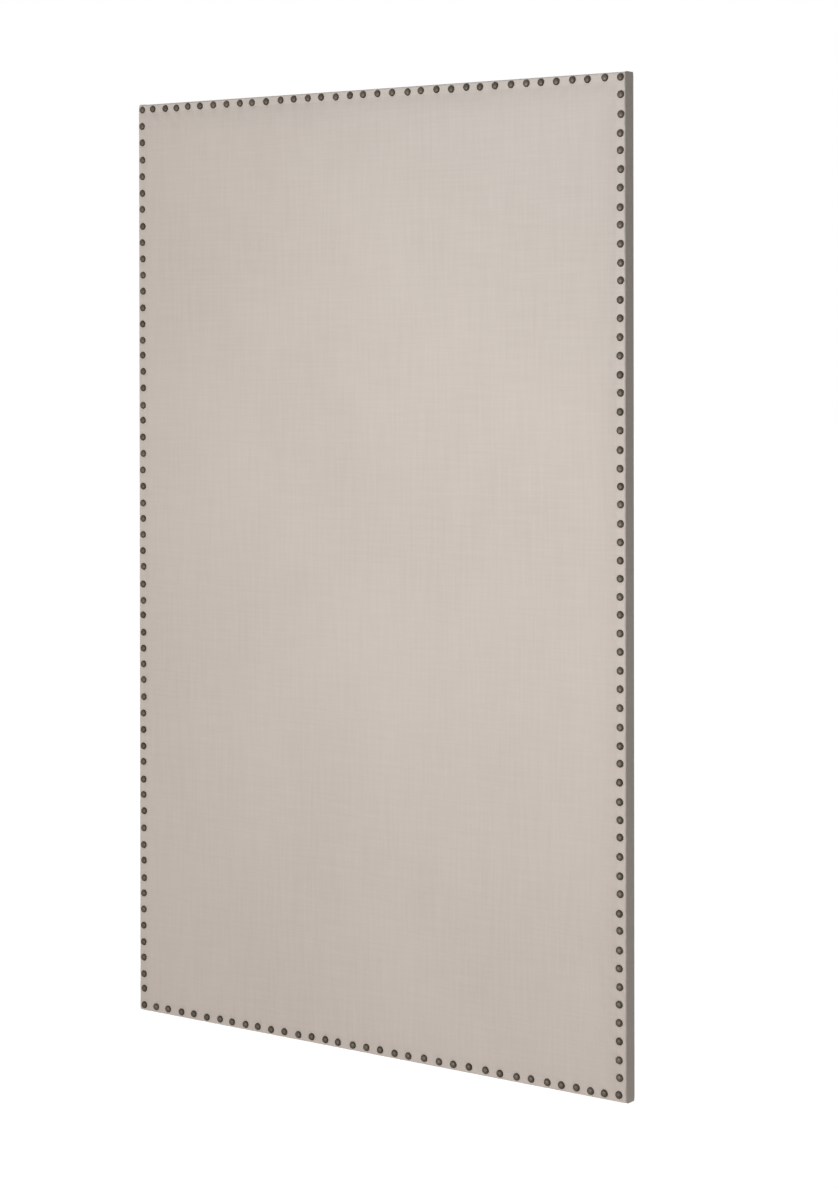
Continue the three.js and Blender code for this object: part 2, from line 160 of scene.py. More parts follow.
def add_node(
    tree: Tree,
    kind: str,
    inputs: dict[int | str, Any] | None = None,
    out: int | str = 0,
    **settings: Any,
) -> Socket:
    """Add a node with its settings and feed its inputs.

    Args:
        tree: Node tree that gets the node.
        kind: Node type without its "ShaderNode" prefix.
        inputs: Values, or other nodes' outputs to link, by input name or number.
        out: Name or number of the output that is wanted.
        **settings: Properties of the node itself.

    Returns:
        That output of the new node.
    """
    node = tree.nodes.new("ShaderNode" + kind)
    for name, value in settings.items():
        setattr(node, name, value)
    feed(tree, node, inputs or {})
    return node.outputs[out]


WHITE = (1.0, 1.0, 1.0, 1.0)
# A Mix node that mixes colours: its two inputs, and the setting and output that go with them
MIX_A, MIX_B = 6, 7
COLOURS = {"data_type": "RGBA", "out": 2}


@dataclass(frozen=True)
class Finish:
    """A surface finish: the part that all of them share."""

    title: str
    roughness: float

    def material(self) -> Material:
        """Make the material.

        Returns:
            The new material, with the finish's own pattern in it.
        """
        made = bpy.data.materials.new(self.title)
        made.use_nodes = True
        tree = made.node_tree
        shader = tree.nodes["Principled BSDF"]
        feed(tree, shader, {"Roughness": self.roughness})
        feed(tree, shader, self.paint(partial(add_node, tree)))
        return made

    def paint(self, node: Adder) -> dict[str, Any]:
        """Give what goes into the shader's inputs; each finish has its own."""
        raise NotImplementedError


@dataclass(frozen=True)
class WovenLinen(Finish):
    """Washed flax in plain weave, its threads thick and thin as they were spun.

    Spinning leaves slubs, short swellings of a thread, which the eye reads as faint streaks along
    warp and weft. Washing leaves it matt, with a slight halo of fibre ends at a glancing view.
    """

    base: str = "#d0c5bc"
    shade: str = "#ccc1b8"
    slub: str = "#dad0c7"
    fleck: str = "#9d9387"
    thread: float = 0.7 * MM
    slub_width: float = 3.0 * MM
    slub_length: float = 70 * MM
    slub_range: tuple[float, float] = (0.78, 1.3)
    slub_share: float = 0.4
    slub_swell: float = 0.8
    fleck_spacing: float = 95 * MM
    fleck_size: float = 0.9 * MM
    fleck_edge: float = 2.2
    fleck_share: float = 0.6
    cloud: float = 260 * MM
    cloud_range: tuple[float, float] = (0.35, 0.65)
    # Painted shade: how far the cloth's colour is darkened in the weave's hollows, and lightened on
    # its crests
    weave_shade_levels: tuple[float, float] = (0.95, 1.015)
    relief: float = 0.16 * MM
    bump: float = 0.4
    specular: float = 0.2
    halo: float = 0.08
    halo_roughness: float = 0.5

    def paint(self, node: Adder) -> dict[str, Any]:
        """Draw threads, slubs, flecks and broad clouds on the unrolled cloth.

        Args:
            node: Adds a node to the material.

        Returns:
            What goes into the shader's inputs.
        """
        place = node("UVMap", uv_map="cloth")
        axes = node("SeparateXYZ", {0: place}).node.outputs
        waves = []
        for axis in (0, 1):
            turn = node("Math", {0: axes[axis], 1: math.pi / self.thread}, operation="MULTIPLY")
            waves.append(node("Math", {0: turn}, operation="SINE"))
        crests = [node("Math", {0: wave}, operation="ABSOLUTE") for wave in waves]
        # The sign of both waves together says which thread lies on top
        over = node("Math", {0: waves[0], 1: waves[1]}, operation="MULTIPLY")
        parity = node("MapRange", {0: over, 1: -0.25, 2: 0.25})
        weave = node("Mix", {0: parity, 2: crests[0], 3: crests[1]}, data_type="FLOAT")
        streaks = []
        # Warp and weft are spun apart: each takes its streaks from another part of the noise
        for long_axis, shift in ((0, 3.1), (1, 8.7)):
            stretch = [1 / self.slub_width, 1 / self.slub_width, 1.0]
            stretch[long_axis] = 1 / self.slub_length
            mapped = {"Vector": place, "Location": (shift, shift, shift), "Scale": stretch}
            spinning = {"Vector": node("Mapping", mapped), "Scale": 1.0, "Detail": 3.0}
            streaks.append(node("TexNoise", {**spinning, "Roughness": 0.6}))
        both = node("Math", {0: streaks[0], 1: streaks[1]}, operation="ADD")
        streak = node("MapRange", {0: both, 1: self.slub_range[0], 2: self.slub_range[1]})
        clouds = node("TexNoise", {"Vector": place, "Scale": 1 / self.cloud, "Detail": 2.0})
        broad = node("MapRange", {0: clouds, 1: self.cloud_range[0], 2: self.cloud_range[1]})
        tones = {MIX_A: linear(self.shade), MIX_B: linear(self.base)}
        ground = node("Mix", {0: broad, **tones}, **COLOURS)
        share = node("Math", {0: streak, 1: self.slub_share}, operation="MULTIPLY")
        spun = node("Mix", {0: share, MIX_A: ground, MIX_B: linear(self.slub)}, **COLOURS)
        away = node("TexVoronoi", {"Vector": place, "Scale": 1 / self.fleck_spacing})
        near = self.fleck_size / self.fleck_spacing
        edge = {0: away, 1: near, 2: self.fleck_edge * near, 3: self.fleck_share, 4: 0.0}
        speck = node("MapRange", edge)
        flecked = node("Mix", {0: speck, MIX_A: spun, MIX_B: linear(self.fleck)}, **COLOURS)
        # Painted shade in the weave's hollows between threads: the colour is multiplied down where the
        # weave is low
        weave_shade = node("MapRange", {0: weave, 3: self.weave_shade_levels[0], 4: self.weave_shade_levels[1]})
        shaded = {0: 1.0, MIX_A: flecked, MIX_B: weave_shade}
        woven = node("Mix", shaded, blend_type="MULTIPLY", **COLOURS)
        swell = node("Math", {0: streak, 1: self.slub_swell}, operation="MULTIPLY")
        height = node("Math", {0: weave, 1: swell}, operation="ADD")
        depth = {"Height": height, "Strength": self.bump, "Distance": self.relief}
        return {
            "Base Color": woven,
            "Normal": node("Bump", depth),
            "Specular IOR Level": self.specular,
            "Sheen Weight": self.halo,
            "Sheen Roughness": self.halo_roughness,
        }


@dataclass(frozen=True)
class AntiquedBronze(Finish):
    """Stamped steel domes, plated, blackened and rubbed back on their crowns.

    The rubbed crown is lighter and smoother, and the dark finish stays where a cloth can't reach,
    round the rim. Tone varies a little from nail to nail.
    """

    crown: str = "#5f5950"
    rim: str = "#514a42"
    mottle: float = 1.6 * MM
    # Height on the dome plus mottle, where wear begins and where it is full
    worn: tuple[float, float] = (0.95, 1.5)
    tones: tuple[float, float] = (0.86, 1.14)
    dulled: float = 0.1

    def paint(self, node: Adder) -> dict[str, Any]:
        """Mix rim and crown by the height on the dome, and mottle them.

        Args:
            node: Adds a node to the material.

        Returns:
            What goes into the shader's inputs.
        """
        height = node("Attribute", out="Fac", attribute_name="crown")
        tone = node("Attribute", out="Fac", attribute_name="tone")
        place = node("TexCoord", out="Object")
        spots = node("TexNoise", {"Vector": place, "Scale": 1 / self.mottle, "Detail": 3.0})
        wear = node("Math", {0: height, 1: spots}, operation="ADD")
        rubbed = node("MapRange", {0: wear, 1: self.worn[0], 2: self.worn[1]})
        colours = {MIX_A: linear(self.rim), MIX_B: linear(self.crown)}
        metal = node("Mix", {0: rubbed, **colours}, **COLOURS)
        level = node("MapRange", {0: tone, 3: self.tones[0], 4: self.tones[1]})
        toned = node("Mix", {0: 1.0, MIX_A: metal, MIX_B: level}, blend_type="MULTIPLY", **COLOURS)
        gloss = node("MapRange", {0: rubbed, 3: self.roughness + self.dulled, 4: self.roughness})
        return {"Base Color": toned, "Roughness": gloss, "Metallic": 1.0}


@dataclass(frozen=True)
class PlanedPine(Finish):
    """Machine-planed softwood: pale early wood with darker, harder lines of late wood."""

    early: str = "#e2c79b"
    late: str = "#c59a63"
    ring: float = 5.5 * MM
    run: float = 160 * MM
    along: int = 2
    waver: float = 1.2
    rings_per_swell: float = 9.0
    fibres_per_ring: float = 9.0
    relief: float = 0.1 * MM
    bump: float = 0.3

    def paint(self, node: Adder) -> dict[str, Any]:
        """Draw growth rings stretched along the board.

        Args:
            node: Adds a node to the material.

        Returns:
            What goes into the shader's inputs.
        """
        stretch = [1 / self.ring] * 3
        stretch[self.along] = 1 / self.run
        sawn = node("Mapping", {"Vector": node("TexCoord", out="Object"), "Scale": stretch})
        growth = {"Vector": sawn, "Scale": 0.6, "Detail": 2.0, "Distortion": self.waver}
        swells = {0: node("TexNoise", growth), 1: self.rings_per_swell}
        grain = node("Math", {0: node("Math", swells, operation="MULTIPLY")}, operation="FRACT")
        fibre = node("TexNoise", {"Vector": sawn, "Scale": self.fibres_per_ring, "Detail": 4.0})
        mixed = node("Math", {0: grain, 1: fibre}, operation="MULTIPLY")
        wood = {0: mixed, MIX_A: linear(self.early), MIX_B: linear(self.late)}
        bump = node("Bump", {"Height": mixed, "Strength": self.bump, "Distance": self.relief})
        return {"Base Color": node("Mix", wood, **COLOURS), "Normal": bump}


@dataclass(frozen=True)
class GrainyBoard(Finish):
    """Pressed sheets: hardboard from wood fibre and cork from ground bark.

    Pressing leaves particles of several tones lying side by side, small fibres in hardboard and
    granules of a few millimetres in cork.
    """

    light: str = "#c79a66"
    dark: str = "#7f5733"
    grain: float = 3.0 * MM
    relief_share: float = 0.1
    bump: float = 0.3

    def paint(self, node: Adder) -> dict[str, Any]:
        """Give each particle a tone of its own, with fine dust between them.

        Args:
            node: Adds a node to the material.

        Returns:
            What goes into the shader's inputs.
        """
        place = node("TexCoord", out="Object")
        away = node("TexVoronoi", {"Vector": place, "Scale": 1 / self.grain})
        tone = node("SeparateXYZ", {0: away.node.outputs["Color"]})
        dust = node("TexNoise", {"Vector": place, "Scale": 3 / self.grain})
        share = node("Math", {0: tone, 1: dust}, operation="MULTIPLY")
        pressed = {0: share, MIX_A: linear(self.light), MIX_B: linear(self.dark)}
        relief = self.relief_share * self.grain
        bump = node("Bump", {"Height": away, "Strength": self.bump, "Distance": relief})
        return {"Base Color": node("Mix", pressed, **COLOURS), "Normal": bump}


@dataclass(frozen=True)
class PolyesterBatting(Finish):
    """Bonded fibre wadding: soft, white, with loose fibres and thin patches."""

    thick: str = "#f3f1ec"
    thin: str = "#dcd8d0"
    tuft: float = 9 * MM
    relief: float = 0.6 * MM
    bump: float = 0.6
    halo: float = 0.3

    def paint(self, node: Adder) -> dict[str, Any]:
        """Draw soft tufts of fibre.

        Args:
            node: Adds a node to the material.

        Returns:
            What goes into the shader's inputs.
        """
        place = node("TexCoord", out="Object")
        tufts = node("TexNoise", {"Vector": place, "Scale": 1 / self.tuft, "Detail": 6.0})
        wool = {0: tufts, MIX_A: linear(self.thin), MIX_B: linear(self.thick)}
        bump = node("Bump", {"Height": tufts, "Strength": self.bump, "Distance": self.relief})
        fibre = node("Mix", wool, **COLOURS)
        return {"Base Color": fibre, "Normal": bump, "Sheen Weight": self.halo}


@dataclass(frozen=True)
class KraftPaper(Finish):
    """Unbleached paper off a roll: fibres lying mostly one way, specks of bark, machine glaze."""

    pale: str = "#c0a17b"
    deep: str = "#ae8f69"
    bark: str = "#85664a"
    fibre: float = 0.8 * MM
    fibre_run: float = 3.2 * MM
    clouds_per_metre: float = 22.0
    speck_spacing: float = 9 * MM
    speck_size: float = 0.22 * MM
    speck_share: float = 0.7
    thickness: tuple[float, float] = (0.9, 1.1)
    relief: float = 0.08 * MM
    bump: float = 0.25
    dulled: float = 0.1
    glazed: float = 0.08

    def paint(self, node: Adder) -> dict[str, Any]:
        """Draw fibres along the roll, cloudy thickness and specks.

        Args:
            node: Adds a node to the material.

        Returns:
            What goes into the shader's inputs.
        """
        place = node("TexCoord", out="Object")
        scale = (1 / self.fibre, 1 / self.fibre, 1 / self.fibre_run)
        roll = node("Mapping", {"Vector": place, "Scale": scale})
        pulp = {"Vector": roll, "Scale": 1.0, "Detail": 5.0, "Roughness": 0.65}
        fibres = node("TexNoise", pulp)
        pattern = {"Vector": place, "Scale": self.clouds_per_metre, "Detail": 3.0}
        clouds = node("TexNoise", pattern)
        thin, heavy = self.thickness
        thick = node("MapRange", {0: clouds, 1: 0.3, 2: 0.7, 3: thin, 4: heavy})
        depth = node("Math", {0: fibres, 1: thick}, operation="MULTIPLY")
        spread = node("MapRange", {0: depth, 1: 0.25, 2: 0.75})
        tones = {MIX_A: linear(self.deep), MIX_B: linear(self.pale)}
        sheet = node("Mix", {0: spread, **tones}, **COLOURS)
        away = node("TexVoronoi", {"Vector": place, "Scale": 1 / self.speck_spacing})
        near = self.speck_size / self.speck_spacing
        speck = node("MapRange", {0: away, 1: near, 2: 2 * near, 3: self.speck_share, 4: 0.0})
        flecked = node("Mix", {0: speck, MIX_A: sheet, MIX_B: linear(self.bark)}, **COLOURS)
        bump = node("Bump", {"Height": fibres, "Strength": self.bump, "Distance": self.relief})
        dull, glazed = self.roughness + self.dulled, self.roughness - self.glazed
        gloss = node("MapRange", {0: fibres, 1: 0.3, 2: 0.7, 3: dull, 4: glazed})
        return {"Base Color": flecked, "Normal": bump, "Roughness": gloss}


@dataclass(frozen=True)
class WoolFelt(Finish):
    """Matted wool cut into discs: no thread runs anywhere, short hairs stand off the surface."""

    dark: str = "#4a443e"
    light: str = "#766d63"
    hair: float = 0.8 * MM
    tangle: float = 1.5
    relief: float = 0.3 * MM
    bump: float = 0.8
    halo: float = 0.5

    def paint(self, node: Adder) -> dict[str, Any]:
        """Draw matted hairs.

        Args:
            node: Adds a node to the material.

        Returns:
            What goes into the shader's inputs.
        """
        place = node("TexCoord", out="Object")
        wool = {"Vector": place, "Scale": 1 / self.hair, "Detail": 6.0, "Distortion": self.tangle}
        hairs = node("TexNoise", wool)
        matted = {0: hairs, MIX_A: linear(self.dark), MIX_B: linear(self.light)}
        bump = node("Bump", {"Height": hairs, "Strength": self.bump, "Distance": self.relief})
        felted = node("Mix", matted, **COLOURS)
        return {"Base Color": felted, "Normal": bump, "Sheen Weight": self.halo}


@dataclass(frozen=True)
class ZincPlatedSteel(Finish):
    """Pressed steel, zinc plated and clear passivated: a cool grey with cloudy, bluish patches."""

    zinc: str = "#c9ccce"
    cloud: str = "#a9b0b6"
    patch: float = 5 * MM
    dulled: float = 0.1
    polished: float = 0.06

    def paint(self, node: Adder) -> dict[str, Any]:
        """Draw the plating's patches in colour and gloss.

        Args:
            node: Adds a node to the material.

        Returns:
            What goes into the shader's inputs.
        """
        place = node("TexCoord", out="Object")
        patches = node("TexNoise", {"Vector": place, "Scale": 1 / self.patch, "Detail": 4.0})
        plated = {0: patches, MIX_A: linear(self.cloud), MIX_B: linear(self.zinc)}
        dull, bright = self.roughness + self.dulled, self.roughness - self.polished
        gloss = node("MapRange", {0: patches, 1: 0.3, 2: 0.7, 3: dull, 4: bright})
        return {"Base Color": node("Mix", plated, **COLOURS), "Roughness": gloss, "Metallic": 1.0}


# Modelling by hand


def deselect_all() -> None:
    """Leave nothing selected and nothing active."""
    bpy.ops.object.select_all(action="DESELECT")
    bpy.context.view_layer.objects.active = None


def only(obj: Object) -> None:
    """Select one object and make it active.

    Args:
        obj: The object.
    """
    deselect_all()
    obj.select_set(True)
    bpy.context.view_layer.objects.active = obj


@contextmanager
def editing(obj: Object) -> Iterator[None]:
    """Keep one object in edit mode for the length of a with block.

    Args:
        obj: The object.

    Yields:
        Nothing: the block runs in edit mode.
    """
    only(obj)
    bpy.ops.object.mode_set(mode="EDIT")
    yield
    bpy.ops.object.mode_set(mode="OBJECT")


def pick(obj: Object, element: Element, test: Test) -> int:
    """Select elements of the mesh in edit mode by their place.

    Args:
        obj: Object in edit mode.
        element: What to select.
        test: Says whether the element whose middle is given is wanted.

    Returns:
        How many are selected.
    """
    bpy.ops.mesh.select_mode(type=element.value)
    bpy.ops.mesh.select_all(action="DESELECT")
    shape = bmesh.from_edit_mesh(obj.data)
    found = 0
    if element is Element.VERTEX:
        for vertex in shape.verts:
            wanted = test(vertex.co)
            vertex.select_set(wanted)
            found += wanted
    elif element is Element.EDGE:
        for edge in shape.edges:
            wanted = test((edge.verts[0].co + edge.verts[1].co) / 2)
            edge.select_set(wanted)
            found += wanted
    else:
        for face in shape.faces:
            wanted = test(face.calc_center_median())
            face.select_set(wanted)
            found += wanted
    shape.select_flush_mode()
    bmesh.update_edit_mesh(obj.data)
    return found


def take_all_faces() -> None:
    """Select the whole mesh in edit mode, as faces."""
    bpy.ops.mesh.select_mode(type="FACE")
    bpy.ops.mesh.select_all(action="SELECT")


def extrude(x: float, y: float, z: float) -> None:
    """Extrude what is selected in edit mode by a step."""
    bpy.ops.mesh.extrude_region_move(TRANSFORM_OT_translate={"value": (x, y, z)})


def spin(centre: Vector, axis: tuple[int, int, int], angle: float, steps: int) -> None:
    """Sweep the selection round an axis, in radians against a right-handed turn."""
    bpy.ops.mesh.spin(steps=steps, angle=angle, center=centre, axis=axis, use_auto_merge=False)


def raise_profile(profile: Profile, height: float) -> None:
    """Extrude the selected face in steps along z, each with a width of its own.

    Args:
        profile: Height and width at the end of each step, as shares of the whole.
        height: Height of the whole, negative to go down.
    """
    reached, wide = 0.0, 1.0
    for up, across in profile:
        extrude(0, 0, (up - reached) * height)
        bpy.ops.transform.resize(value=(across / wide, across / wide, 1))
        reached, wide = up, across


def add_modifier(obj: Object, kind: str, **settings: Any) -> None:
    """Add a modifier with its settings and apply it at once.

    Args:
        obj: Object that gets it.
        kind: Modifier type.
        **settings: Properties of the modifier.
    """
    only(obj)
    modifier = obj.modifiers.new(kind.lower(), kind)
    for name, value in settings.items():
        setattr(modifier, name, value)
    bpy.ops.object.modifier_apply(modifier=modifier.name)


def carve(obj: Object, cutter: Object) -> None:
    """Take one solid out of another and delete the cutter."""
    add_modifier(obj, "BOOLEAN", object=cutter, operation="DIFFERENCE", solver="EXACT")
    bpy.data.objects.remove(cutter)


def drill(obj: Object, place: tuple[float, float, float], radius: float, sides: int) -> None:
    """Drill a hole from front to back.

    Args:
        obj: Sheet that is drilled.
        place: Middle of the drill.
        radius: Its radius.
        sides: Its number of sides.
    """
    deselect_all()
    bpy.ops.mesh.primitive_cylinder_add(
        vertices=sides,
        radius=radius,
        depth=DRILL_LENGTH,
        location=place,
        rotation=(math.pi / 2, 0, 0),
    )
    cutter = bpy.context.object
    settle(cutter)
    carve(obj, cutter)


def settle(obj: Object) -> None:
    """Move an object's place, turn and scale into its mesh."""
    only(obj)
    bpy.ops.object.transform_apply(location=True, rotation=True, scale=True)


def tidy_normals(obj: Object) -> None:
    """Merge doubles and turn all faces outwards.

    Args:
        obj: The object.
    """
    with editing(obj):
        bpy.ops.mesh.select_all(action="SELECT")
        bpy.ops.mesh.remove_doubles(threshold=MERGE)
        bpy.ops.mesh.normals_make_consistent(inside=False)


def smooth(obj: Object, degrees: float = 35.0) -> None:
    """Shade smoothly over edges flatter than an angle."""
    only(obj)
    bpy.ops.object.shade_smooth_by_angle(angle=math.radians(degrees))


def add_block(low: Vector, high: Vector) -> Object:
    """Add a box between two corners, to be shaped or to cut with.

    Args:
        low: Lowest corner.
        high: Highest corner.

    Returns:
        The box, with its place in its mesh.
    """
    deselect_all()
    bpy.ops.mesh.primitive_cube_add(size=1, location=(low + high) / 2)
    block = bpy.context.object
    block.scale = high - low
    settle(block)
    return block


def copy_of(obj: Object, place: Matrix) -> Object:
    """Copy an object with a mesh of its own.

    Args:
        obj: Object to copy.
        place: Where its mesh goes.

    Returns:
        The copy.
    """
    twin = obj.copy()
    twin.data = obj.data.copy()
    twin.data.transform(place)
    bpy.context.scene.collection.objects.link(twin)
    return twin


def join(parts: list[Object]) -> Object:
    """Join objects into the first of them.

    Args:
        parts: Objects whose places are in their meshes.

    Returns:
        The first object, which now holds them all.
    """
    deselect_all()
    for part in parts:
        part.select_set(True)
    bpy.context.view_layer.objects.active = parts[0]
    bpy.ops.object.join()
    return parts[0]


def mesh_object(name: str, points: np.ndarray, faces: list) -> Object:
    """Make an object from points and faces.

    Args:
        name: Name of the object.
        points: Array of places, one row each.
        faces: Rows of point numbers.

    Returns:
        The new object.
    """
    mesh = bpy.data.meshes.new(name)
    mesh.from_pydata(points.tolist(), [], faces)
    mesh.update()
    made = bpy.data.objects.new(name, mesh)
    bpy.context.scene.collection.objects.link(made)
    return made


def dress(
    obj: Object,
    name: str,
    material: Material,
    body: Body,
    stands_for: tuple[str, ...] = (),
) -> Object:
    """Name a finished piece, give it its material and set it on its body.

    Args:
        obj: The piece.
        name: Its name.
        material: Its finish.
        body: Body that it rides on.
        stands_for: CAD nodes that it replaces.

    Returns:
        The same piece.
    """
    obj.name = name
    obj.data.name = name
    obj.data.materials.clear()
    obj.data.materials.append(material)
    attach(obj, body.value)
    if stands_for:
        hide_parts(*stands_for)
    log.info("%s: %d faces", name, len(obj.data.polygons))
    return obj


# The cloth's layout round the board


@dataclass
class Wrap:
    """How cloth lies round the board: loops round its edge, and the nails that hold it.

    Lengths are in metres. An inset runs inwards from the board's outer edge.
    """

    low: Vector
    high: Vector
    # Where the cloth's face lies in y: on the strip under the nails, and on top of the crown
    flat_front: float
    crown_front: float
    nail_inset: float = 6 * MM
    nail_pitch: float = 22 * MM
    columns_per_gap: int = 6
    arris: float = 1.9 * MM
    back_arris: float = 1.4 * MM
    corner: float = 1.4 * MM
    margin: float = 12 * MM
    crown_width: float = 42 * MM
    crown_radius: float = 36 * MM
    crown_power: float = 3.0
    # A nail presses the cloth down round itself, the cloth puffs up between nails, and each nail
    # draws a shallow furrow inwards, some harder than others
    press: float = 0.5 * MM
    press_reach: float = 5.8 * MM
    puff: float = 0.34 * MM
    puff_reach: float = 8 * MM
    draw: float = 0.3 * MM
    draw_reach: float = 9 * MM
    draw_focus: float = 1.5
    pulls: tuple[float, float] = (0.45, 1.5)
    # How far each row strays along its side, as a sine series over the side's length: spacing
    # judged by eye creeps ahead or behind and is made good before the corner
    creep: tuple[tuple[float, ...], ...] = (
        (-5.3 * MM, -3.4 * MM, -2.2 * MM, -0.6 * MM, -0.9 * MM),
        (1.6 * MM, -0.2 * MM, 0.2 * MM, -0.8 * MM),
        (-1.6 * MM, -2.9 * MM, -2.6 * MM, -1.6 * MM, -0.3 * MM),
        (-2.5 * MM, 0.1 * MM, -1.3 * MM, -0.4 * MM, -0.9 * MM),
    )
    miss_along: float = 1.3 * MM
    miss_across: float = 0.6 * MM
    corner_miss: tuple[tuple[float, float], ...] = (
        (1.3 * MM, -0.8 * MM),
        (0.0, -0.1 * MM),
        (-3.3 * MM, 1.3 * MM),
        (1.9 * MM, 1.3 * MM),
    )
    # How much further in the lower right corner's nail stands than the rows that meet there
    set_back: tuple[float, float] = (-0.9 * MM, 2.2 * MM)
    seed: int = 17
    gaps: tuple[int, int] = field(init=False)
    pull: np.ndarray = field(init=False)
    shares: list[np.ndarray] = field(init=False)

    def __post_init__(self) -> None:
        """Count the gaps between nails, and draw where each nail lands and how hard it pulls."""
        run = self.size() - 2 * self.nail_inset
        self.gaps = tuple(int(round(side / self.nail_pitch)) for side in run)
        dice = np.random.default_rng(self.seed)
        self.pull = dice.uniform(*self.pulls, 2 * sum(self.gaps))
        self.shares = []
        for side, terms in enumerate(self.creep):
            count = self.gaps[side % 2]
            even = np.arange(count + 1) / count
            astray = sum(term * np.sin(math.pi * (k + 1) * even) for k, term in enumerate(terms))
            astray[1:-1] += dice.uniform(-self.miss_along, self.miss_along, count - 1)
            self.shares.append(2 * (even + astray / run[side % 2]) - 1)

    def size(self) -> np.ndarray:
        """Width and height of the board."""
        return np.array([self.high.x - self.low.x, self.high.z - self.low.z])

    def middle(self) -> np.ndarray:
        """Middle of the board in x and z."""
        return np.array([self.high.x + self.low.x, self.high.z + self.low.z]) / 2

    def stations(self, per_gap: int) -> list[tuple[int, float]]:
        """Places round the board from the top left corner, clockwise seen from the front.

        Args:
            per_gap: Places for each gap between two nails.

        Returns:
            For each place its side and how far along that side it lies, from -1 to 1.
        """
        found = []
        for side, shares in enumerate(self.shares):
            nails = np.arange(len(shares))
            steps = np.arange(nails[-1] * per_gap) / per_gap
            found += [(side, share) for share in np.interp(steps, nails, shares)]
        return found

    def loop(self, inset: float, radius: float, per_gap: int) -> np.ndarray:
        """Points of one loop round the board.

        Args:
            inset: Distance inside the outer edge.
            radius: Radius of its corners.
            per_gap: Points for each gap between two nails.

        Returns:
            Rows of x and z.
        """
        half = self.size() / 2 - inset
        centre = self.middle()
        points = []
        for side, share in self.stations(per_gap):
            along, out = (half[0], half[1]) if side % 2 == 0 else (half[1], half[0])
            straight = along - radius
            reach = abs(share) * (straight + radius * math.pi / 4)
            if reach <= straight:
                s, t = reach, out
            else:
                angle = (reach - straight) / radius if radius else math.pi / 4
                s, t = straight + radius * math.sin(angle), out - radius * (1 - math.cos(angle))
            s = math.copysign(s, share)
            x, z = ((s, t), (t, -s), (-s, -t), (-t, s))[side]
            points.append((centre[0] + x, centre[1] + z))
        return np.array(points)

    def crown_share(self, inset: float) -> float:
        """How far up the crown an inset lies, 0 at its foot and 1 where it is level."""
        return min(max((inset - self.margin) / self.crown_width, 0.0), 1.0)

    def crown(self, inset: float) -> tuple[float, float]:
        """Height of the crown and radius of its corners at an inset.

        Args:
            inset: Distance inside the outer edge.

        Returns:
            Rise above the flat strip, and corner radius.
        """
        share = self.crown_share(inset)
        rise = (self.flat_front - self.crown_front) * (1 - (1 - share) ** self.crown_power)
        return rise, self.corner + self.crown_radius * share

    def phase(self, per_gap: int) -> np.ndarray:
        """Where each column lies between two nails, 0 at a nail and 1 halfway."""
        turn = 2 * np.pi * (np.arange(len(self.stations(per_gap))) % per_gap) / per_gap
        return (1 - np.cos(turn)) / 2

    def nail_of(self, per_gap: int) -> np.ndarray:
        """Number of the nail nearest to each column."""
        columns = np.arange(len(self.stations(per_gap)))
        return np.round(columns / per_gap).astype(int) % len(self.pull)

    def tension(self, inset: float, per_gap: int) -> np.ndarray:
        """Height that the nails' pull adds to the cloth on a loop.

        Args:
            inset: Distance inside the outer edge.
            per_gap: Columns for each gap between two nails.

        Returns:
            One height for each column.
        """
        between = self.phase(per_gap)
        pull = self.pull[self.nail_of(per_gap)]
        step = np.arange(len(between)) % per_gap
        aside = np.minimum(step, per_gap - step) / per_gap * self.nail_pitch
        away = np.hypot(aside, inset - self.nail_inset)
        press = -self.press * np.exp(-((away / self.press_reach) ** 2))
        off = inset - self.nail_inset
        puff = self.puff * between * math.exp(-((off / self.puff_reach) ** 2))
        past = max(off, 0.0) / self.draw_reach
        at_nail = (1 - between) ** self.draw_focus
        drawn = -self.draw * pull * at_nail * past * math.exp(1 - past)
        return press + puff + drawn

    def nail_places(self) -> list[tuple[float, float]]:
        """Centres of all nails in x and z, in the order of the columns.

        Returns:
            Pairs of x and z, each a little off the line as a hammer leaves it.
        """
        centres = self.loop(self.nail_inset, 0.0, 1)
        dice = np.random.default_rng(self.seed + 1)
        sides = np.array([side for side, _ in self.stations(1)])
        # Each corner's nail as it was set, and the rows between in line with their two corners
        before = np.array([(1 + share) / 2 for _, share in self.stations(1)])[:, None]
        corners = np.array(self.corner_miss)
        centres = centres + corners[sides] * (1 - before) + corners[(sides + 1) % 4] * before
        centres[np.flatnonzero(sides == Side.BOTTOM.value)[0]] += self.set_back
        across = dice.uniform(-self.miss_across, self.miss_across, len(centres))
        centres[:, 1] += np.where(sides % 2 == 0, across, 0)
        centres[:, 0] += np.where(sides % 2 == 1, across, 0)
        return [tuple(point) for point in centres]

    def fill(self, rim: np.ndarray, step: float) -> tuple[np.ndarray, list[list[int]]]:
        """Triangles inside a loop, on an even grid of points.

        Args:
            rim: Points of the loop, rows of x and z.
            step: Distance between grid points.

        Returns:
            The grid points, and triangles that number the rim's points first.
        """
        low, high = rim.min(0), rim.max(0)
        counts = np.round((high - low) / step).astype(int)
        xs = np.linspace(low[0], high[0], counts[0] + 1)[1:-1]
        zs = np.linspace(low[1], high[1], counts[1] + 1)[1:-1]
        grid = np.array([(x, z) for x in xs for z in zs])
        corner = self.corner + self.crown_radius
        beyond = np.abs(grid - (low + high) / 2) - ((high - low) / 2 - corner)
        inside = np.hypot(*np.maximum(beyond, 0).T) < corner - step / 2
        grid = grid[inside]
        count = len(rim)
        edges = [(i, (i + 1) % count) for i in range(count)]
        points = [Vector(p) for p in np.vstack([rim, grid])]
        # Output type 1 keeps only the triangles inside the loop
        _, _, faces, origin, _, _ = delaunay_2d_cdt(points, edges, [], 1, SAME)
        numbers = [sources[0] for sources in origin]
        return grid, [[numbers[i] for i in face] for face in faces]


def upright(flat: np.ndarray, y: float | np.ndarray) -> np.ndarray:
    """Places at a depth y, or one depth each, from rows of x and z."""
    return np.column_stack([flat[:, 0], np.broadcast_to(y, len(flat)), flat[:, 1]])


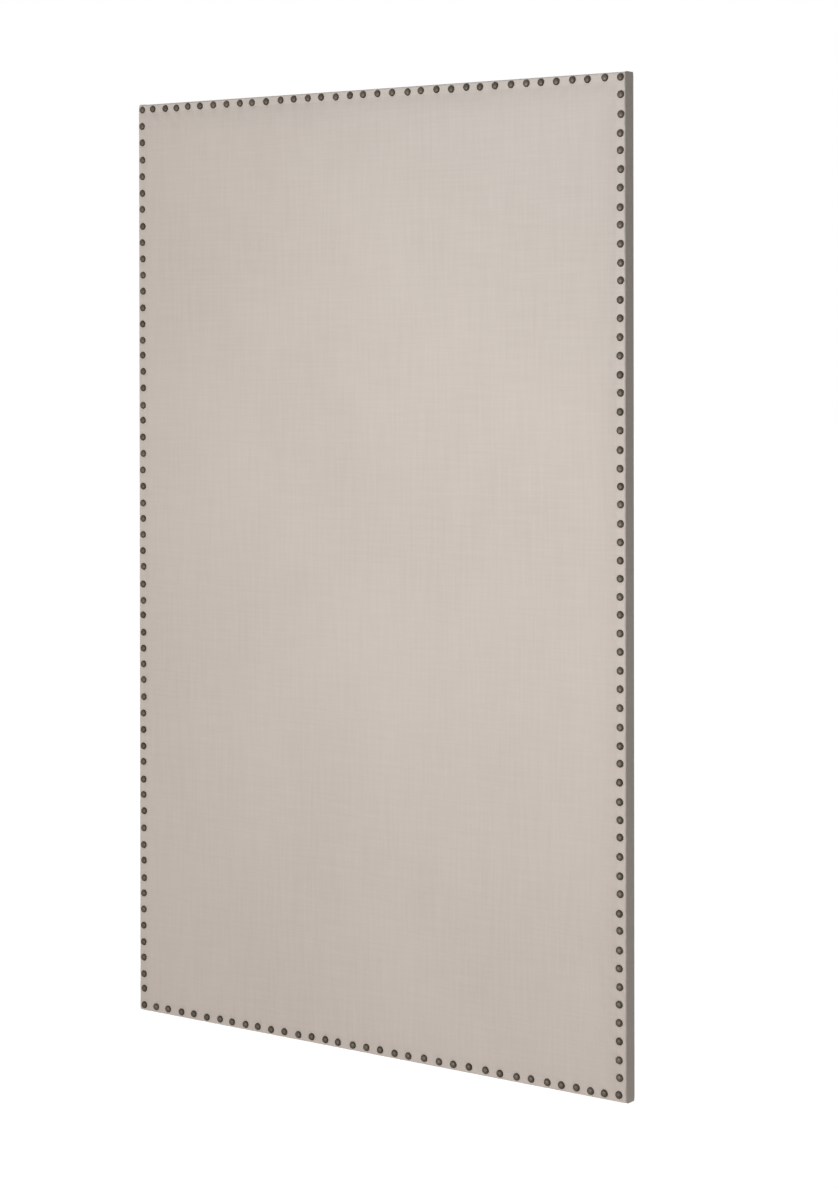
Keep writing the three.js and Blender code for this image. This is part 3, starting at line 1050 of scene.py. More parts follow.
def ribbons(loops: int, count: int) -> list[list[int]]:
    """Join closed loops of points, numbered one loop after another, with quads.

    Args:
        loops: Number of loops.
        count: Number of points in each.

    Returns:
        Point numbers of each quad.
    """
    faces = []
    for first in range(0, (loops - 1) * count, count):
        steps = [(first + i, first + (i + 1) % count) for i in range(count)]
        faces += [[i, j, j + count, i + count] for i, j in steps]
    return faces


def lid(triangles: list[list[int]], count: int, rim: int, grid: int) -> list[list[int]]:
    """Number a filled loop's triangles by where its rim and grid points start in a mesh."""
    return [[i + rim if i < count else i + grid - count for i in face] for face in triangles]


@dataclass
class LinenCover:
    """The linen: over the front, round the four sides and onto the back, in one piece."""

    wrap: Wrap
    thickness: float = 0.8 * MM
    flange: float = 32 * MM
    grid_step: float = 11 * MM
    front_insets: tuple[float, ...] = (
        *(54, 47, 41, 36, 31, 27, 23.5, 20.5, 18, 15.8, 13.8, 12),
        *(10.2, 8.6, 7.2, 6, 4.8, 3.7, 2.7),
    )
    side_rows: int = 6
    arris_rows: int = 3
    flange_rows: int = 4
    sway: float = 0.22 * MM
    # Height of a folded corner, the width of its edge, and how near to its side it begins
    pleat: float = 1.3 * MM
    pleat_step: float = 2.5 * MM
    pleat_level: float = 1.0 * MM

    def build(self, linen: Material) -> Object:
        """Make the cover.

        Args:
            linen: Finish of the cloth.

        Returns:
            The finished piece.
        """
        rows = self.rows()
        per_gap = self.wrap.columns_per_gap
        count = len(self.wrap.stations(per_gap))
        points = [row for row, _ in rows]
        rim = points[0][:, [0, 2]]
        grid, triangles = self.wrap.fill(rim, self.grid_step)
        inner = upright(grid, self.wrap.crown_front - self.swell(grid))
        faces = ribbons(len(rows), count) + lid(triangles, count, 0, count * len(rows))
        cover = mesh_object("linen", np.vstack([*points, inner]), faces)
        self.unroll(cover, [run for _, run in rows], count)
        with editing(cover):
            bpy.ops.mesh.select_all(action="SELECT")
            bpy.ops.mesh.normals_make_consistent(inside=False)
        self.face_outwards(cover)
        add_modifier(
            cover, "SOLIDIFY", thickness=self.thickness, offset=-1, use_even_offset=True, use_rim=True
        )
        smooth(cover, 60)
        dress(cover, "linen", linen, Body.BOARD, ("linen_cover",))
        depth = self.wrap.high.y - self.wrap.flat_front
        flat = self.wrap.size() + 2 * (depth + self.flange)
        return cover

    def swell(self, places: np.ndarray) -> np.ndarray:
        """Slight unevenness of the stretched cloth over its batting.

        Args:
            places: Rows of x and z.

        Returns:
            Height towards the room at each place.
        """
        x, z = places.T
        # Long waves, in radians for each metre, that meet at odd angles
        return self.sway * (
            np.sin(17.3 * x + 1.1 * np.sin(9.1 * z)) * np.cos(8.7 * z + 0.6)
            + 0.5 * np.sin(31.7 * z + 2.0 * np.cos(13.9 * x))
        )

    def rows(self) -> list[tuple[np.ndarray, float]]:
        """All loops of the outer face, from the flat middle out and round to the back.

        Returns:
            Points of each loop, and how far beyond the front's edge the cloth has run there.
        """
        wrap = self.wrap
        per_gap = wrap.columns_per_gap
        made = []
        for inset in (value * MM for value in self.front_insets):
            rise, radius = wrap.crown(inset)
            flat = wrap.loop(inset, radius, per_gap)
            sway = self.swell(flat) * wrap.crown_share(inset)
            lift = rise + wrap.tension(inset, per_gap) + sway
            made.append((upright(flat, wrap.flat_front - lift), -inset))
        arris, back_arris, back = wrap.arris, wrap.back_arris, wrap.high.y
        for step in range(self.arris_rows + 1):
            angle = math.pi / 2 * step / self.arris_rows
            inset = arris * (1 - math.sin(angle))
            drop = arris * (1 - math.cos(angle))
            lift = wrap.tension(inset, per_gap) * math.cos(angle)
            loop = wrap.loop(inset, wrap.corner, per_gap)
            made.append((upright(loop, wrap.flat_front + drop - lift), arris * (angle - 1)))
        depth = back - wrap.flat_front - arris - back_arris
        turned = arris * (math.pi / 2 - 1)
        for step in range(1, self.side_rows):
            down = depth * step / self.side_rows
            loop = self.pleated(wrap.loop(0.0, wrap.corner, per_gap), down)
            made.append((upright(loop, wrap.flat_front + arris + down), turned + down))
        for step in range(self.arris_rows + 1):
            angle = math.pi / 2 * step / self.arris_rows
            inset = back_arris * (1 - math.cos(angle))
            y = back - back_arris * (1 - math.sin(angle))
            loop = self.pleated(wrap.loop(inset, wrap.corner, per_gap), depth * math.cos(angle))
            made.append((upright(loop, y), turned + depth + back_arris * angle))
        for step in range(1, self.flange_rows + 1):
            inset = back_arris + (self.flange - back_arris) * step / self.flange_rows
            loop = wrap.loop(inset, wrap.corner, per_gap)
            run = turned + depth + back_arris * (math.pi / 2 - 1) + inset
            made.append((upright(loop, back), run))
        return made

    def pleated(self, loop: np.ndarray, width: float) -> np.ndarray:
        """Raise the folded corners on the top and the bottom side.

        The spare cloth of a corner is folded flat under itself there, a triangle that is nothing
        at the front and as wide as the board is deep at the back.

        Args:
            loop: Rows of x and z on one loop.
            width: Width of the triangle at this loop.

        Returns:
            The same rows, with the pleats' thickness added.
        """
        wrap = self.wrap
        half = wrap.size() / 2
        x, z = (loop - wrap.middle()).T
        from_end = half[0] - np.abs(x)
        on_level = np.abs(z) > half[1] - wrap.corner - self.pleat_level
        share = np.clip((width - from_end) / self.pleat_step, 0, 1) * on_level
        raised = loop.copy()
        raised[:, 1] += np.sign(z) * self.pleat * share * share * (3 - 2 * share)
        return raised

    def unroll(self, cover: Object, runs: list[float], count: int) -> None:
        """Lay the cloth flat in a UV map, in metres.

        Args:
            cover: The cover's outer face.
            runs: How far beyond the front's edge the cloth has run at each loop.
            count: Columns in a loop.
        """
        mesh = cover.data
        layer = mesh.uv_layers.new(name="cloth")
        sides = [side for side, _ in self.wrap.stations(self.wrap.columns_per_gap)]
        edge = self.wrap.size() / 2
        centre = self.wrap.middle()
        for polygon in mesh.polygons:
            numbers = list(polygon.vertices)
            rows = [number // count for number in numbers]
            on_loops = all(row < len(runs) for row in rows)
            beyond = on_loops and max(runs[row] for row in rows) > -self.wrap.arris
            side = sides[min(number % count for number in numbers)] if beyond else None
            if beyond and {number % count for number in numbers} == {0, count - 1}:
                side = Side.LEFT.value
            for corner, number in zip(polygon.loop_indices, numbers):
                point = mesh.vertices[number].co
                u, v = point.x - centre[0], point.z - centre[1]
                if beyond:
                    far = runs[number // count]
                    if side % 2 == 0:
                        v = math.copysign(edge[1] + far, 1 - side)
                    else:
                        u = math.copysign(edge[0] + far, 2 - side)
                layer.data[corner].uv = (u, v)

    @staticmethod
    def face_outwards(cover: Object) -> None:
        """Turn the open skin over if its front looks at the wall.

        Args:
            cover: The skin.
        """
        middle = min(cover.data.polygons, key=lambda polygon: polygon.center.y)
        if middle.normal.y > 0:
            cover.data.flip_normals()


@dataclass
class Batting:
    """Wadding between the cork and the linen, thin at its edge."""

    wrap: Wrap
    # Where the cork's face lies in y, and how far the wadding stays off it
    cork: float
    rest: float = 0.3 * MM
    cloth: float = 0.8 * MM
    gap: float = 0.3 * MM
    insets: tuple[float, ...] = (52, 42, 34, 27, 22, 18)
    per_gap: int = 3
    grid_step: float = 16 * MM

    def build(self, wadding: Material) -> Object:
        """Make the pad.

        Args:
            wadding: Its finish.

        Returns:
            The finished piece.
        """
        wrap = self.wrap
        rows = []
        for inset in (value * MM for value in self.insets):
            rise, radius = wrap.crown(inset)
            flat = wrap.loop(inset, radius, self.per_gap)
            rows.append(upright(flat, wrap.flat_front - rise + self.cloth + self.gap))
        bed = self.cork - self.rest
        rows += [upright(row[:, [0, 2]], bed) for row in (rows[-1], rows[0])]
        count = len(rows[0])
        grid, triangles = wrap.fill(rows[0][:, [0, 2]], self.grid_step)
        faces = ribbons(len(rows), count)
        start = count * len(rows)
        faces += lid(triangles, count, 0, start)
        faces += lid(triangles, count, start - count, start + len(grid))
        top, bottom = upright(grid, rows[0][0, 1]), upright(grid, bed)
        pad = mesh_object("batting", np.vstack([*rows, top, bottom]), faces)
        tidy_normals(pad)
        smooth(pad, 40)
        dress(pad, "batting", wadding, Body.BOARD, ("padding",))
        return pad


# Frame, nails and panels


@dataclass
class PineFrame:
    """Mitred frame of planed pine with a rabbet for the panels."""

    low: Vector
    high: Vector
    rabbet_floor: float
    width: float = 42 * MM
    tongue: float = 28 * MM
    mitre_gap: float = 0.3 * MM
    ease: float = 1.0 * MM

    def build(self, stiles: Material, rails: Material) -> list[Object]:
        """Make the four members.

        Args:
            stiles: Pine with its grain upright.
            rails: Pine with its grain across.

        Returns:
            The finished pieces.
        """
        made = []
        for side, node in MEMBERS.items():
            member = self.member(side)
            is_stile = side in (Side.LEFT, Side.RIGHT)
            if is_stile:
                self.house_crossbar(member)
            smooth(member)
            wood = stiles if is_stile else rails
            made.append(dress(member, f"{node}_wood", wood, Body.BOARD, (node,)))
        return made

    def member(self, side: Side) -> Object:
        """Shape one member as a top rail, then turn it to its side.

        Args:
            side: Side of the board that it is for.

        Returns:
            The member in its place.
        """
        span, rise = self.high.x - self.low.x, self.high.z - self.low.z
        long, out = (span, rise / 2) if side.value % 2 == 0 else (rise, span / 2)
        back, front = self.high.y, self.low.y
        bar = add_block(
            Vector((-long / 2, self.rabbet_floor, out - self.width)), Vector((long / 2, back, out))
        )
        with editing(bar):
            bpy.ops.mesh.select_all(action="SELECT")
            shoulder = out - self.tongue
            bpy.ops.mesh.bisect(plane_co=(0, 0, shoulder), plane_no=(0, 0, 1))
            floor = self.rabbet_floor
            pick(bar, Element.FACE, lambda c: abs(c.y - floor) < TOUCH and c.z > shoulder)
            extrude(0, front - floor, 0)
            setback = self.mitre_gap * math.sqrt(0.5)
            for end in (-1, 1):
                bpy.ops.mesh.select_all(action="SELECT")
                bpy.ops.mesh.bisect(
                    plane_co=(end * (long / 2 - setback), 0, out),
                    plane_no=(end, 0, -1),
                    clear_outer=True,
                    use_fill=True,
                )
        tidy_normals(bar)
        add_modifier(bar, "BEVEL", width=self.ease, segments=2, limit_method="ANGLE")
        middle = (self.low + self.high) / 2
        turn = Matrix.Rotation(side.value * math.pi / 2, 4, "Y")
        bar.data.transform(Matrix.Translation((middle.x, 0, middle.z)) @ turn)
        return bar

    def house_crossbar(self, member: Object) -> None:
        """Cut the housing that takes an end of the crossbar.

        Args:
            member: The stile that is cut.
        """
        low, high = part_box("crossbar")
        room = Vector((self.mitre_gap,) * 3)
        carve(member, add_block(low - room, high + room))


@dataclass
class NailRun:
    """Domed nails round the front: one is modelled, and each place gets a copy, driven by hand."""

    wrap: Wrap
    radius: float = 4.75 * MM
    height: float = 3.0 * MM
    rim: float = 0.45 * MM
    sides: int = 14
    dome: Profile = ((0.56, 0.84), (0.88, 0.5))
    shank: float = 1.6 * MM
    length: float = 12 * MM
    point: float = 2.5 * MM
    tip: float = 0.15
    sink: float = 0.1 * MM
    tilt: float = 5.5
    seed: int = 5

    def build(self, bronze: Material) -> list[Object]:
        """Make the nails, one joined piece for each side.

        Args:
            bronze: Their finish.

        Returns:
            The four pieces.
        """
        pattern = self.model()
        dice = random.Random(self.seed)
        groups = {side: [] for side in Side}
        edge = self.wrap.size() / 2 - self.wrap.nail_inset
        centre = self.wrap.middle()
        for x, z in self.wrap.nail_places():
            if abs(abs(x - centre[0]) - edge[0]) < self.wrap.nail_pitch / 2:
                side = Side.LEFT if x < centre[0] else Side.RIGHT
            else:
                side = Side.BOTTOM if z < centre[1] else Side.TOP
            groups[side].append(self.drive(pattern, x, z, dice))
        bpy.data.objects.remove(pattern)
        made = []
        for side, nails in groups.items():
            run, name, node = join(nails), f"nails_{side.name.lower()}", MEMBERS[side]
            made.append(dress(run, name, bronze, Body.BOARD, (node,)))
        return made

    def model(self) -> Object:
        """Model one nail, its head's underside at z = 0 and its dome upwards.

        Returns:
            The nail, with the height on its dome as an attribute.
        """
        deselect_all()
        bpy.ops.mesh.primitive_circle_add(
            vertices=self.sides, radius=self.radius, fill_type="NGON", location=(0, 0, 0)
        )
        nail = bpy.context.object
        domed = self.height - self.rim
        with editing(nail):
            take_all_faces()
            extrude(0, 0, self.rim)
            raise_profile(self.dome, domed)
            bpy.ops.mesh.poke(offset=(1 - self.dome[-1][0]) * domed)
        tidy_normals(nail)
        smooth(nail, 50)
        half = self.shank / 2
        low = Vector((-half, -half, self.point - self.length))
        shank = add_block(low, Vector((half, half, self.rim / 2)))
        with editing(shank):
            pick(shank, Element.FACE, lambda c: abs(c.z - low.z) < TOUCH)
            raise_profile(((1.0, self.tip),), -self.point)
        nail = join([nail, shank])
        crown = nail.data.attributes.new("crown", "FLOAT", "POINT")
        heights = [max(0.0, (v.co.z - self.rim) / domed) for v in nail.data.vertices]
        crown.data.foreach_set("value", heights)
        nail.data.attributes.new("tone", "FLOAT", "POINT")
        return nail

    def drive(
        self, pattern: Object, x: float, z: float, dice: random.Random
    ) -> Object:
        """Copy the nail to one place, a little off true as a hammer leaves it.

        Args:
            pattern: The modelled nail.
            x: Place across the board.
            z: Place up the board.
            dice: Source of the unevenness.

        Returns:
            The copy in its place.
        """
        lean = Matrix.Rotation(math.radians(dice.uniform(0, self.tilt)), 4, "X")
        heading = Matrix.Rotation(dice.uniform(0, 2 * math.pi), 4, "Z")
        twist = Matrix.Rotation(dice.uniform(0, 2 * math.pi), 4, "Z")
        forward = Matrix.Rotation(math.pi / 2, 4, "X")
        spot = Matrix.Translation((x, self.wrap.flat_front + self.sink, z))
        nail = copy_of(pattern, spot @ forward @ heading @ lean @ twist)
        tone = nail.data.attributes["tone"]
        tone.data.foreach_set("value", [dice.random()] * len(nail.data.vertices))
        return nail


@dataclass
class PanelStack:
    """CAD pieces inside the frame whose shapes are right: they get their real finishes."""

    nodes: dict[str, Object]

    def build(self, finishes: dict[str, Material]) -> None:
        """Give each inner CAD node its finish.

        Args:
            finishes: Material for each node name, or for the first word of several names.
        """
        for name, node in self.nodes.items():
            key = next((k for k in finishes if name.startswith(k)), None)
            if key is None:
                continue
            for holder in node.material_slots:
                holder.material = finishes[key]
            log.info("%s: CAD node finished as %s", name, finishes[key].name)


# Back of the board


@dataclass
class PaperBack:
    """Dust cover of kraft paper, stapled round its rim and slightly cockled."""

    low: Vector
    high: Vector
    seats: list[tuple[float, float, float]]
    screws: list[tuple[float, float]]
    thickness: float = 0.3 * MM
    step: float = 8 * MM
    cockle: float = 0.75 * MM
    calm_edge: float = 60 * MM
    calm_power: float = 1.5
    seat_reach: float = 24 * MM
    # How deep the stapled rim lies in its node, and the slight waves between its staples
    seam: float = 0.25 * MM
    scallop: float = 0.12 * MM
    scallop_step: float = 100 * MM
    scallop_reach: float = 18 * MM
    sag: float = 1.2 * MM
    hole: float = 1.9 * MM
    hole_sides: int = 16

    def build(self, paper: Material) -> Object:
        """Make the sheet.

        Args:
            paper: Its finish.

        Returns:
            The finished piece.
        """
        size = self.high - self.low
        counts = [int(round(size.x / self.step)), int(round(size.z / self.step))]
        xs = np.linspace(self.low.x, self.high.x, counts[0] + 1)
        zs = np.linspace(self.low.z, self.high.z, counts[1] + 1)
        x, z = (grid.ravel() for grid in np.meshgrid(xs, zs, indexing="ij"))
        points = np.column_stack([x, self.outer_face(x, z), z])
        row = counts[1] + 1
        faces = [
            [i * row + j, i * row + j + 1, (i + 1) * row + j + 1, (i + 1) * row + j]
            for i in range(counts[0])
            for j in range(counts[1])
        ]
        sheet = mesh_object("paper", points, faces)
        if sheet.data.polygons[0].normal.y < 0:
            sheet.data.flip_normals()
        add_modifier(sheet, "SOLIDIFY", thickness=self.thickness, offset=-1, use_rim=True)
        for at_x, at_z in self.screws:
            drill(sheet, (at_x, self.low.y, at_z), self.hole, self.hole_sides)
        smooth(sheet, 30)
        return dress(sheet, "paper_back", paper, Body.BOARD, ("dust_cover",))

    def outer_face(self, x: np.ndarray, z: np.ndarray) -> np.ndarray:
        """Place of the sheet's face towards the wall.

        Args:
            x: Places across the board.
            z: Places up the board.

        Returns:
            The y of the face at each place.
        """
        inset = np.minimum.reduce([x - self.low.x, self.high.x - x, z - self.low.z, self.high.z - z])
        calm = np.clip(inset / self.calm_edge, 0, 1) ** self.calm_power
        # Three trains of waves, in radians for each metre, and their greatest height together
        waves = (
            np.sin(21.0 * x + 3.0 * np.sin(4.1 * z + 0.7))
            + 0.7 * np.sin(15.5 * z + 2.2 * np.sin(6.3 * x))
            + 0.5 * np.sin(34.0 * (x + 0.6 * z))
        ) / 2.2
        fade = np.exp(-inset / self.scallop_reach)
        scallop = self.scallop * fade * np.sin(2 * np.pi * (x + z) / self.scallop_step)
        face = self.low.y + self.seam + self.cockle * calm * waves + scallop
        for at_x, at_z, seat in self.seats:
            away = np.hypot(x - at_x, z - at_z) / self.seat_reach
            hold = np.exp(-(away**2))
            face = face * (1 - hold) + seat * hold
        return np.minimum(face, self.high.y + self.sag)


@dataclass
class RimStaples:
    """Staples that hold the paper, driven by hand along the rim."""

    low: Vector
    high: Vector
    seat: float
    inset: float = 5.5 * MM
    corner_room: float = 42 * MM
    pitch: float = 98 * MM
    crown: float = 11 * MM
    wire: float = 0.65 * MM
    leg: float = 7 * MM
    # Depth and rounding of the flattened wire, as shares of its width
    flatness: float = 0.75
    ease: float = 0.18
    stray: float = 1 * MM
    skew: float = 7.0
    seed: int = 11

    def build(self, steel: Material) -> Object:
        """Make all staples as one piece.

        Args:
            steel: Their finish.

        Returns:
            The finished piece.
        """
        pattern = self.model()
        dice = random.Random(self.seed)
        made = []
        for x, z, turned in self.places():
            skew = math.radians(dice.uniform(-self.skew, self.skew)) + turned
            aside, above = (dice.uniform(-self.stray, self.stray) for _ in range(2))
            spot = Matrix.Translation((x + aside, self.seat, z + above))
            made.append(copy_of(pattern, spot @ Matrix.Rotation(skew, 4, "Y")))
        bpy.data.objects.remove(pattern)
        staples = join(made)
        return dress(staples, "rim_staples", steel, Body.BOARD)

    def places(self) -> list[tuple[float, float, float]]:
        """Find where the staples go, in even steps along each edge.

        Returns:
            The x, the z and the turn about +Y of each.
        """
        found = []
        for start, end, fixed, turned in (
            (self.low.x, self.high.x, (self.low.z, self.high.z), 0.0),
            (self.low.z, self.high.z, (self.low.x, self.high.x), math.pi / 2),
        ):
            run = end - start - 2 * self.corner_room
            gaps = int(round(run / self.pitch))
            for step in range(gaps + 1):
                along = start + self.corner_room + run * step / gaps
                for edge, inwards in zip(fixed, (1, -1)):
                    across = edge + inwards * self.inset
                    x, z = (along, across) if turned == 0.0 else (across, along)
                    found.append((x, z, turned))
        return found

    def model(self) -> Object:
        """Model one staple, its crown along x at y = 0, its legs into the board.

        Returns:
            The staple.
        """
        half, wire = self.crown / 2, self.wire
        low = Vector((-half, 0, -wire / 2))
        staple = add_block(low, Vector((half, self.flatness * wire, wire / 2)))
        with editing(staple):
            for end in (-1, 1):
                bpy.ops.mesh.select_all(action="SELECT")
                bpy.ops.mesh.bisect(plane_co=(end * (half - wire), 0, 0), plane_no=(1, 0, 0))
            pick(staple, Element.FACE, lambda c: abs(c.y) < TOUCH and abs(c.x) > half - wire)
            extrude(0, -self.leg, 0)
        tidy_normals(staple)
        add_modifier(staple, "BEVEL", width=self.ease * wire, segments=1, limit_method="ANGLE")
        smooth(staple, 50)
        return staple


@dataclass
class FeltBumpers:
    """Stick-on discs of wool felt at the four corners, cut by a die that rounds their edge."""

    nodes: list[str]
    sides: int = 40
    # Steps of its thickness, and the middle's inset as a share of the radius
    layers: tuple[float, ...] = (0.35, 0.4, 0.25)
    core: float = 0.4
    ease: float = 1.1 * MM
    nap: float = 0.16 * MM
    nap_grain: float = 2.2 * MM

    def build(self, felt: Material) -> list[Object]:
        """Make one disc for each node."""
        return [self.disc(node, felt) for node in self.nodes]

    def disc(self, node: str, felt: Material) -> Object:
        """Make one disc where its CAD node stands.

        Args:
            node: Name of the CAD node.
            felt: Its finish.

        Returns:
            The finished piece.
        """
        low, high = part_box(node)
        radius, depth = (high.x - low.x) / 2, high.y - low.y
        deselect_all()
        bpy.ops.mesh.primitive_circle_add(
            vertices=self.sides,
            radius=radius,
            fill_type="NGON",
            location=((low.x + high.x) / 2, low.y, (low.z + high.z) / 2),
            rotation=(-math.pi / 2, 0, 0),
        )
        disc = bpy.context.object
        settle(disc)
        with editing(disc):
            take_all_faces()
            for share in self.layers:
                extrude(0, depth * share, 0)
            bpy.ops.mesh.inset(thickness=self.ease)
            bpy.ops.mesh.inset(thickness=radius * self.core)
        tidy_normals(disc)
        add_modifier(disc, "BEVEL", width=self.ease, segments=3, limit_method="ANGLE")
        texture = bpy.data.textures.new(f"{node} nap", "CLOUDS")
        texture.noise_scale = self.nap_grain
        add_modifier(disc, "SUBSURF", levels=1, render_levels=1)
        add_modifier(disc, "DISPLACE", texture=texture, strength=self.nap, mid_level=1.0)
        smooth(disc, 60)
        return dress(disc, f"{node}_felt", felt, Body.BOARD, (node,))


@dataclass
class StrapHanger:
    """One strap hanger: a folded strap with two screws, and the D ring in its eye."""

    hand: Hand
    pivot: Vector
    base: float
    width: float = 15 * MM
    length: float = 49 * MM
    metal: float = 0.8 * MM
    eye: float = 1.55 * MM
    leave_bend: float = 1.2 * MM
    leaf_gap: float = 0.3 * MM
    end_radius: float = 6 * MM
    eye_steps: int = 18
    leave_steps: int = 6
    end_steps: int = 7
    ease: float = 0.12 * MM
    ease_above: float = 0.9
    # How far below the pivot the strap starts to lie on the paper
    seat_drop: float = 6 * MM
    wire: float = 1.25 * MM
    ring_half: float = 10.75 * MM
    ring_leg: float = 8 * MM
    ring_corner: float = 2.4 * MM
    wire_sides: int = 16
    corner_steps: int = 7
    bow_steps: int = 28
    butt: float = 0.15 * MM
    screw_drops: tuple[float, float] = (25 * MM, 41 * MM)
    # Where each screw's cross came to rest, in radians
    screw_turns: tuple[float, float] = (17.5, 28.7)
    screw_radius: float = 1.75 * MM
    screw_length: float = 14.7 * MM
    screw_sides: int = 28
    # Length and end width of the tip, as shares of the shank's
    tip_share: float = 0.2
    tip_width: float = 0.1
    head_radius: float = 3.5 * MM
    head_height: float = 2.45 * MM
    head_profile: Profile = ((0.36, 1.0), (0.66, 0.92), (0.87, 0.72), (1.0, 0.4))
    cross_arm: float = 0.42 * MM
    cross_wing: float = 2.1 * MM
    cross_depth: float = 1.3 * MM
    cross_above: float = 1 * MM
    cross_taper: float = 0.55

    def build(self, zinc: Material) -> list[Object]:
        """Make strap, screws and ring.

        Args:
            zinc: Their finish.

        Returns:
            The finished pieces.
        """
        side = self.hand.value
        ring_body = Body.LEFT_RING if self.hand is Hand.LEFT else Body.RIGHT_RING
        pieces = [
            (self.strap(), f"strap_{side}", Body.BOARD, f"hanger_strap_{side}"),
            (self.ring(), f"d_ring_{side}", ring_body, f"hanger_ring_{side}"),
        ]
        pattern = self.screw()
        seat = self.base + 2 * self.metal + self.leaf_gap
        forward = Matrix.Rotation(-math.pi / 2, 4, "X")
        for drop, turn, row in zip(self.screw_drops, self.screw_turns, ("upper", "lower")):
            place = Matrix.Translation((self.pivot.x, seat, self.pivot.z - drop))
            screw = copy_of(pattern, place @ forward @ Matrix.Rotation(turn, 4, "Z"))
            name = f"screw_{side}_{row}"
            pieces.append((screw, name, Body.BOARD, f"hanger_{name}"))
        bpy.data.objects.remove(pattern)
        return [
            dress(obj, name, zinc, body, (node,))
            for obj, name, body, node in pieces
        ]

    def strap(self) -> Object:
        """Fold the strap from one strip: up the paper, round the ring's bar and down again.

        Returns:
            The strap in its place.
        """
        half = self.metal / 2
        x, pivot = self.pivot.x, self.pivot
        bend = self.eye + half
        outer = self.base + 2 * self.metal + self.leaf_gap - half
        fall = pivot.y + bend - outer
        leave = math.acos(1 - fall / (bend + self.leave_bend))
        deselect_all()
        bpy.ops.mesh.primitive_plane_add(size=1, rotation=(math.pi / 2, 0, 0))
        strap = bpy.context.object
        strap.scale = (self.width, self.length, 1)
        strap.location = (x, self.base + half, pivot.z - self.length / 2)
        settle(strap)
        foot = pivot.z - self.length
        low_end = pivot.z - (bend + self.leave_bend) * math.sin(leave)
        with editing(strap):
            pick(strap, Element.EDGE, lambda c: abs(c.z - pivot.z) < TOUCH)
            spin(pivot, (1, 0, 0), math.pi + leave, self.eye_steps)
            centre = Vector((x, outer + self.leave_bend, low_end))
            spin(centre, (1, 0, 0), -leave, self.leave_steps)
            extrude(0, 0, foot - low_end)
            pick(strap, Element.VERTEX, lambda c: abs(c.z - foot) < TOUCH)
            bpy.ops.mesh.bevel(offset=self.end_radius, segments=self.end_steps, affect="VERTICES")
        tidy_normals(strap)
        add_modifier(strap, "SOLIDIFY", thickness=self.metal, offset=0, use_even_offset=True)
        for drop in self.screw_drops:
            hole = self.screw_radius + self.leaf_gap
            drill(strap, (x, self.base, pivot.z - drop), hole, self.screw_sides)
        limit = {"limit_method": "ANGLE", "angle_limit": self.ease_above}
        add_modifier(strap, "BEVEL", width=self.ease, segments=2, **limit)
        smooth(strap, 40)
        return strap

    def ring(self) -> Object:
        """Bend the D ring from round wire, bar first, and lay it on its strap.

        Returns:
            The ring in its place.
        """
        deselect_all()
        bpy.ops.mesh.primitive_circle_add(
            vertices=self.wire_sides,
            radius=self.wire,
            location=(self.butt, 0, 0),
            rotation=(0, math.pi / 2, 0),
        )
        ring = bpy.context.object
        settle(ring)
        corner = self.ring_half - self.ring_corner
        turns = (
            ((corner, 0, -self.ring_corner), -math.pi / 2, self.corner_steps),
            ((0, 0, -self.ring_leg), -math.pi, self.bow_steps),
            ((-corner, 0, -self.ring_corner), -math.pi / 2, self.corner_steps),
        )
        runs = (
            (corner - self.butt, 0, 0),
            (0, 0, self.ring_corner - self.ring_leg),
            (0, 0, self.ring_leg - self.ring_corner),
            (corner - self.butt, 0, 0),
        )
        with editing(ring):
            bpy.ops.mesh.select_mode(type="EDGE")
            bpy.ops.mesh.select_all(action="SELECT")
            for run, turn in zip(runs, (*turns, None)):
                extrude(*run)
                if turn:
                    centre, angle, steps = turn
                    spin(centre, (0, 1, 0), angle, steps)
            bpy.ops.mesh.select_all(action="SELECT")
            bpy.ops.mesh.remove_doubles(threshold=MERGE)
            bpy.ops.mesh.fill_holes(sides=0)
        tidy_normals(ring)
        smooth(ring, 50)
        lift = self.base + 2 * self.metal + 2 * self.leaf_gap + self.wire - self.pivot.y
        lean = math.asin(lift / (self.ring_leg + self.ring_half))
        ring.data.transform(Matrix.Translation(self.pivot) @ Matrix.Rotation(lean, 4, "X"))
        return ring

    def screw(self) -> Object:
        """Model a pan-head screw with a cross recess, its head's underside at z = 0.

        Returns:
            The screw.
        """
        deselect_all()
        bpy.ops.mesh.primitive_circle_add(
            vertices=self.screw_sides, radius=self.head_radius, fill_type="NGON"
        )
        screw = bpy.context.object
        tall, tip = self.head_height, self.tip_share
        with editing(screw):
            take_all_faces()
            raise_profile(self.head_profile, tall)
            pick(screw, Element.FACE, lambda c: abs(c.z) < TOUCH)
            bpy.ops.mesh.inset(thickness=self.head_radius - self.screw_radius)
            raise_profile(((1 - tip, 1.0), (1.0, self.tip_width)), -self.screw_length)
        tidy_normals(screw)
        arm, wing = self.cross_arm, self.cross_wing
        for long, short in ((wing, arm), (arm, wing)):
            low = Vector((-long, -short, tall - self.cross_depth))
            slot = add_block(low, Vector((long, short, tall + self.cross_above)))
            with editing(slot):
                pick(slot, Element.FACE, lambda c: abs(c.z - low.z) < TOUCH)
                bpy.ops.transform.resize(value=(self.cross_taper, self.cross_taper, 1))
            carve(screw, slot)
        smooth(screw, 40)
        return screw


# Studio


def seen_directly(tree: Tree) -> Socket:
    """Tell rays that bring a surface to the eye, straight or by a reflection, from all others.

    Args:
        tree: Node tree that gets the nodes.

    Returns:
        1 for such a ray and 0 for any other.
    """
    rays = add_node(tree, "LightPath").node.outputs
    looks = {0: rays["Is Camera Ray"], 1: rays["Is Glossy Ray"]}
    return add_node(tree, "Math", looks, operation="MAXIMUM")


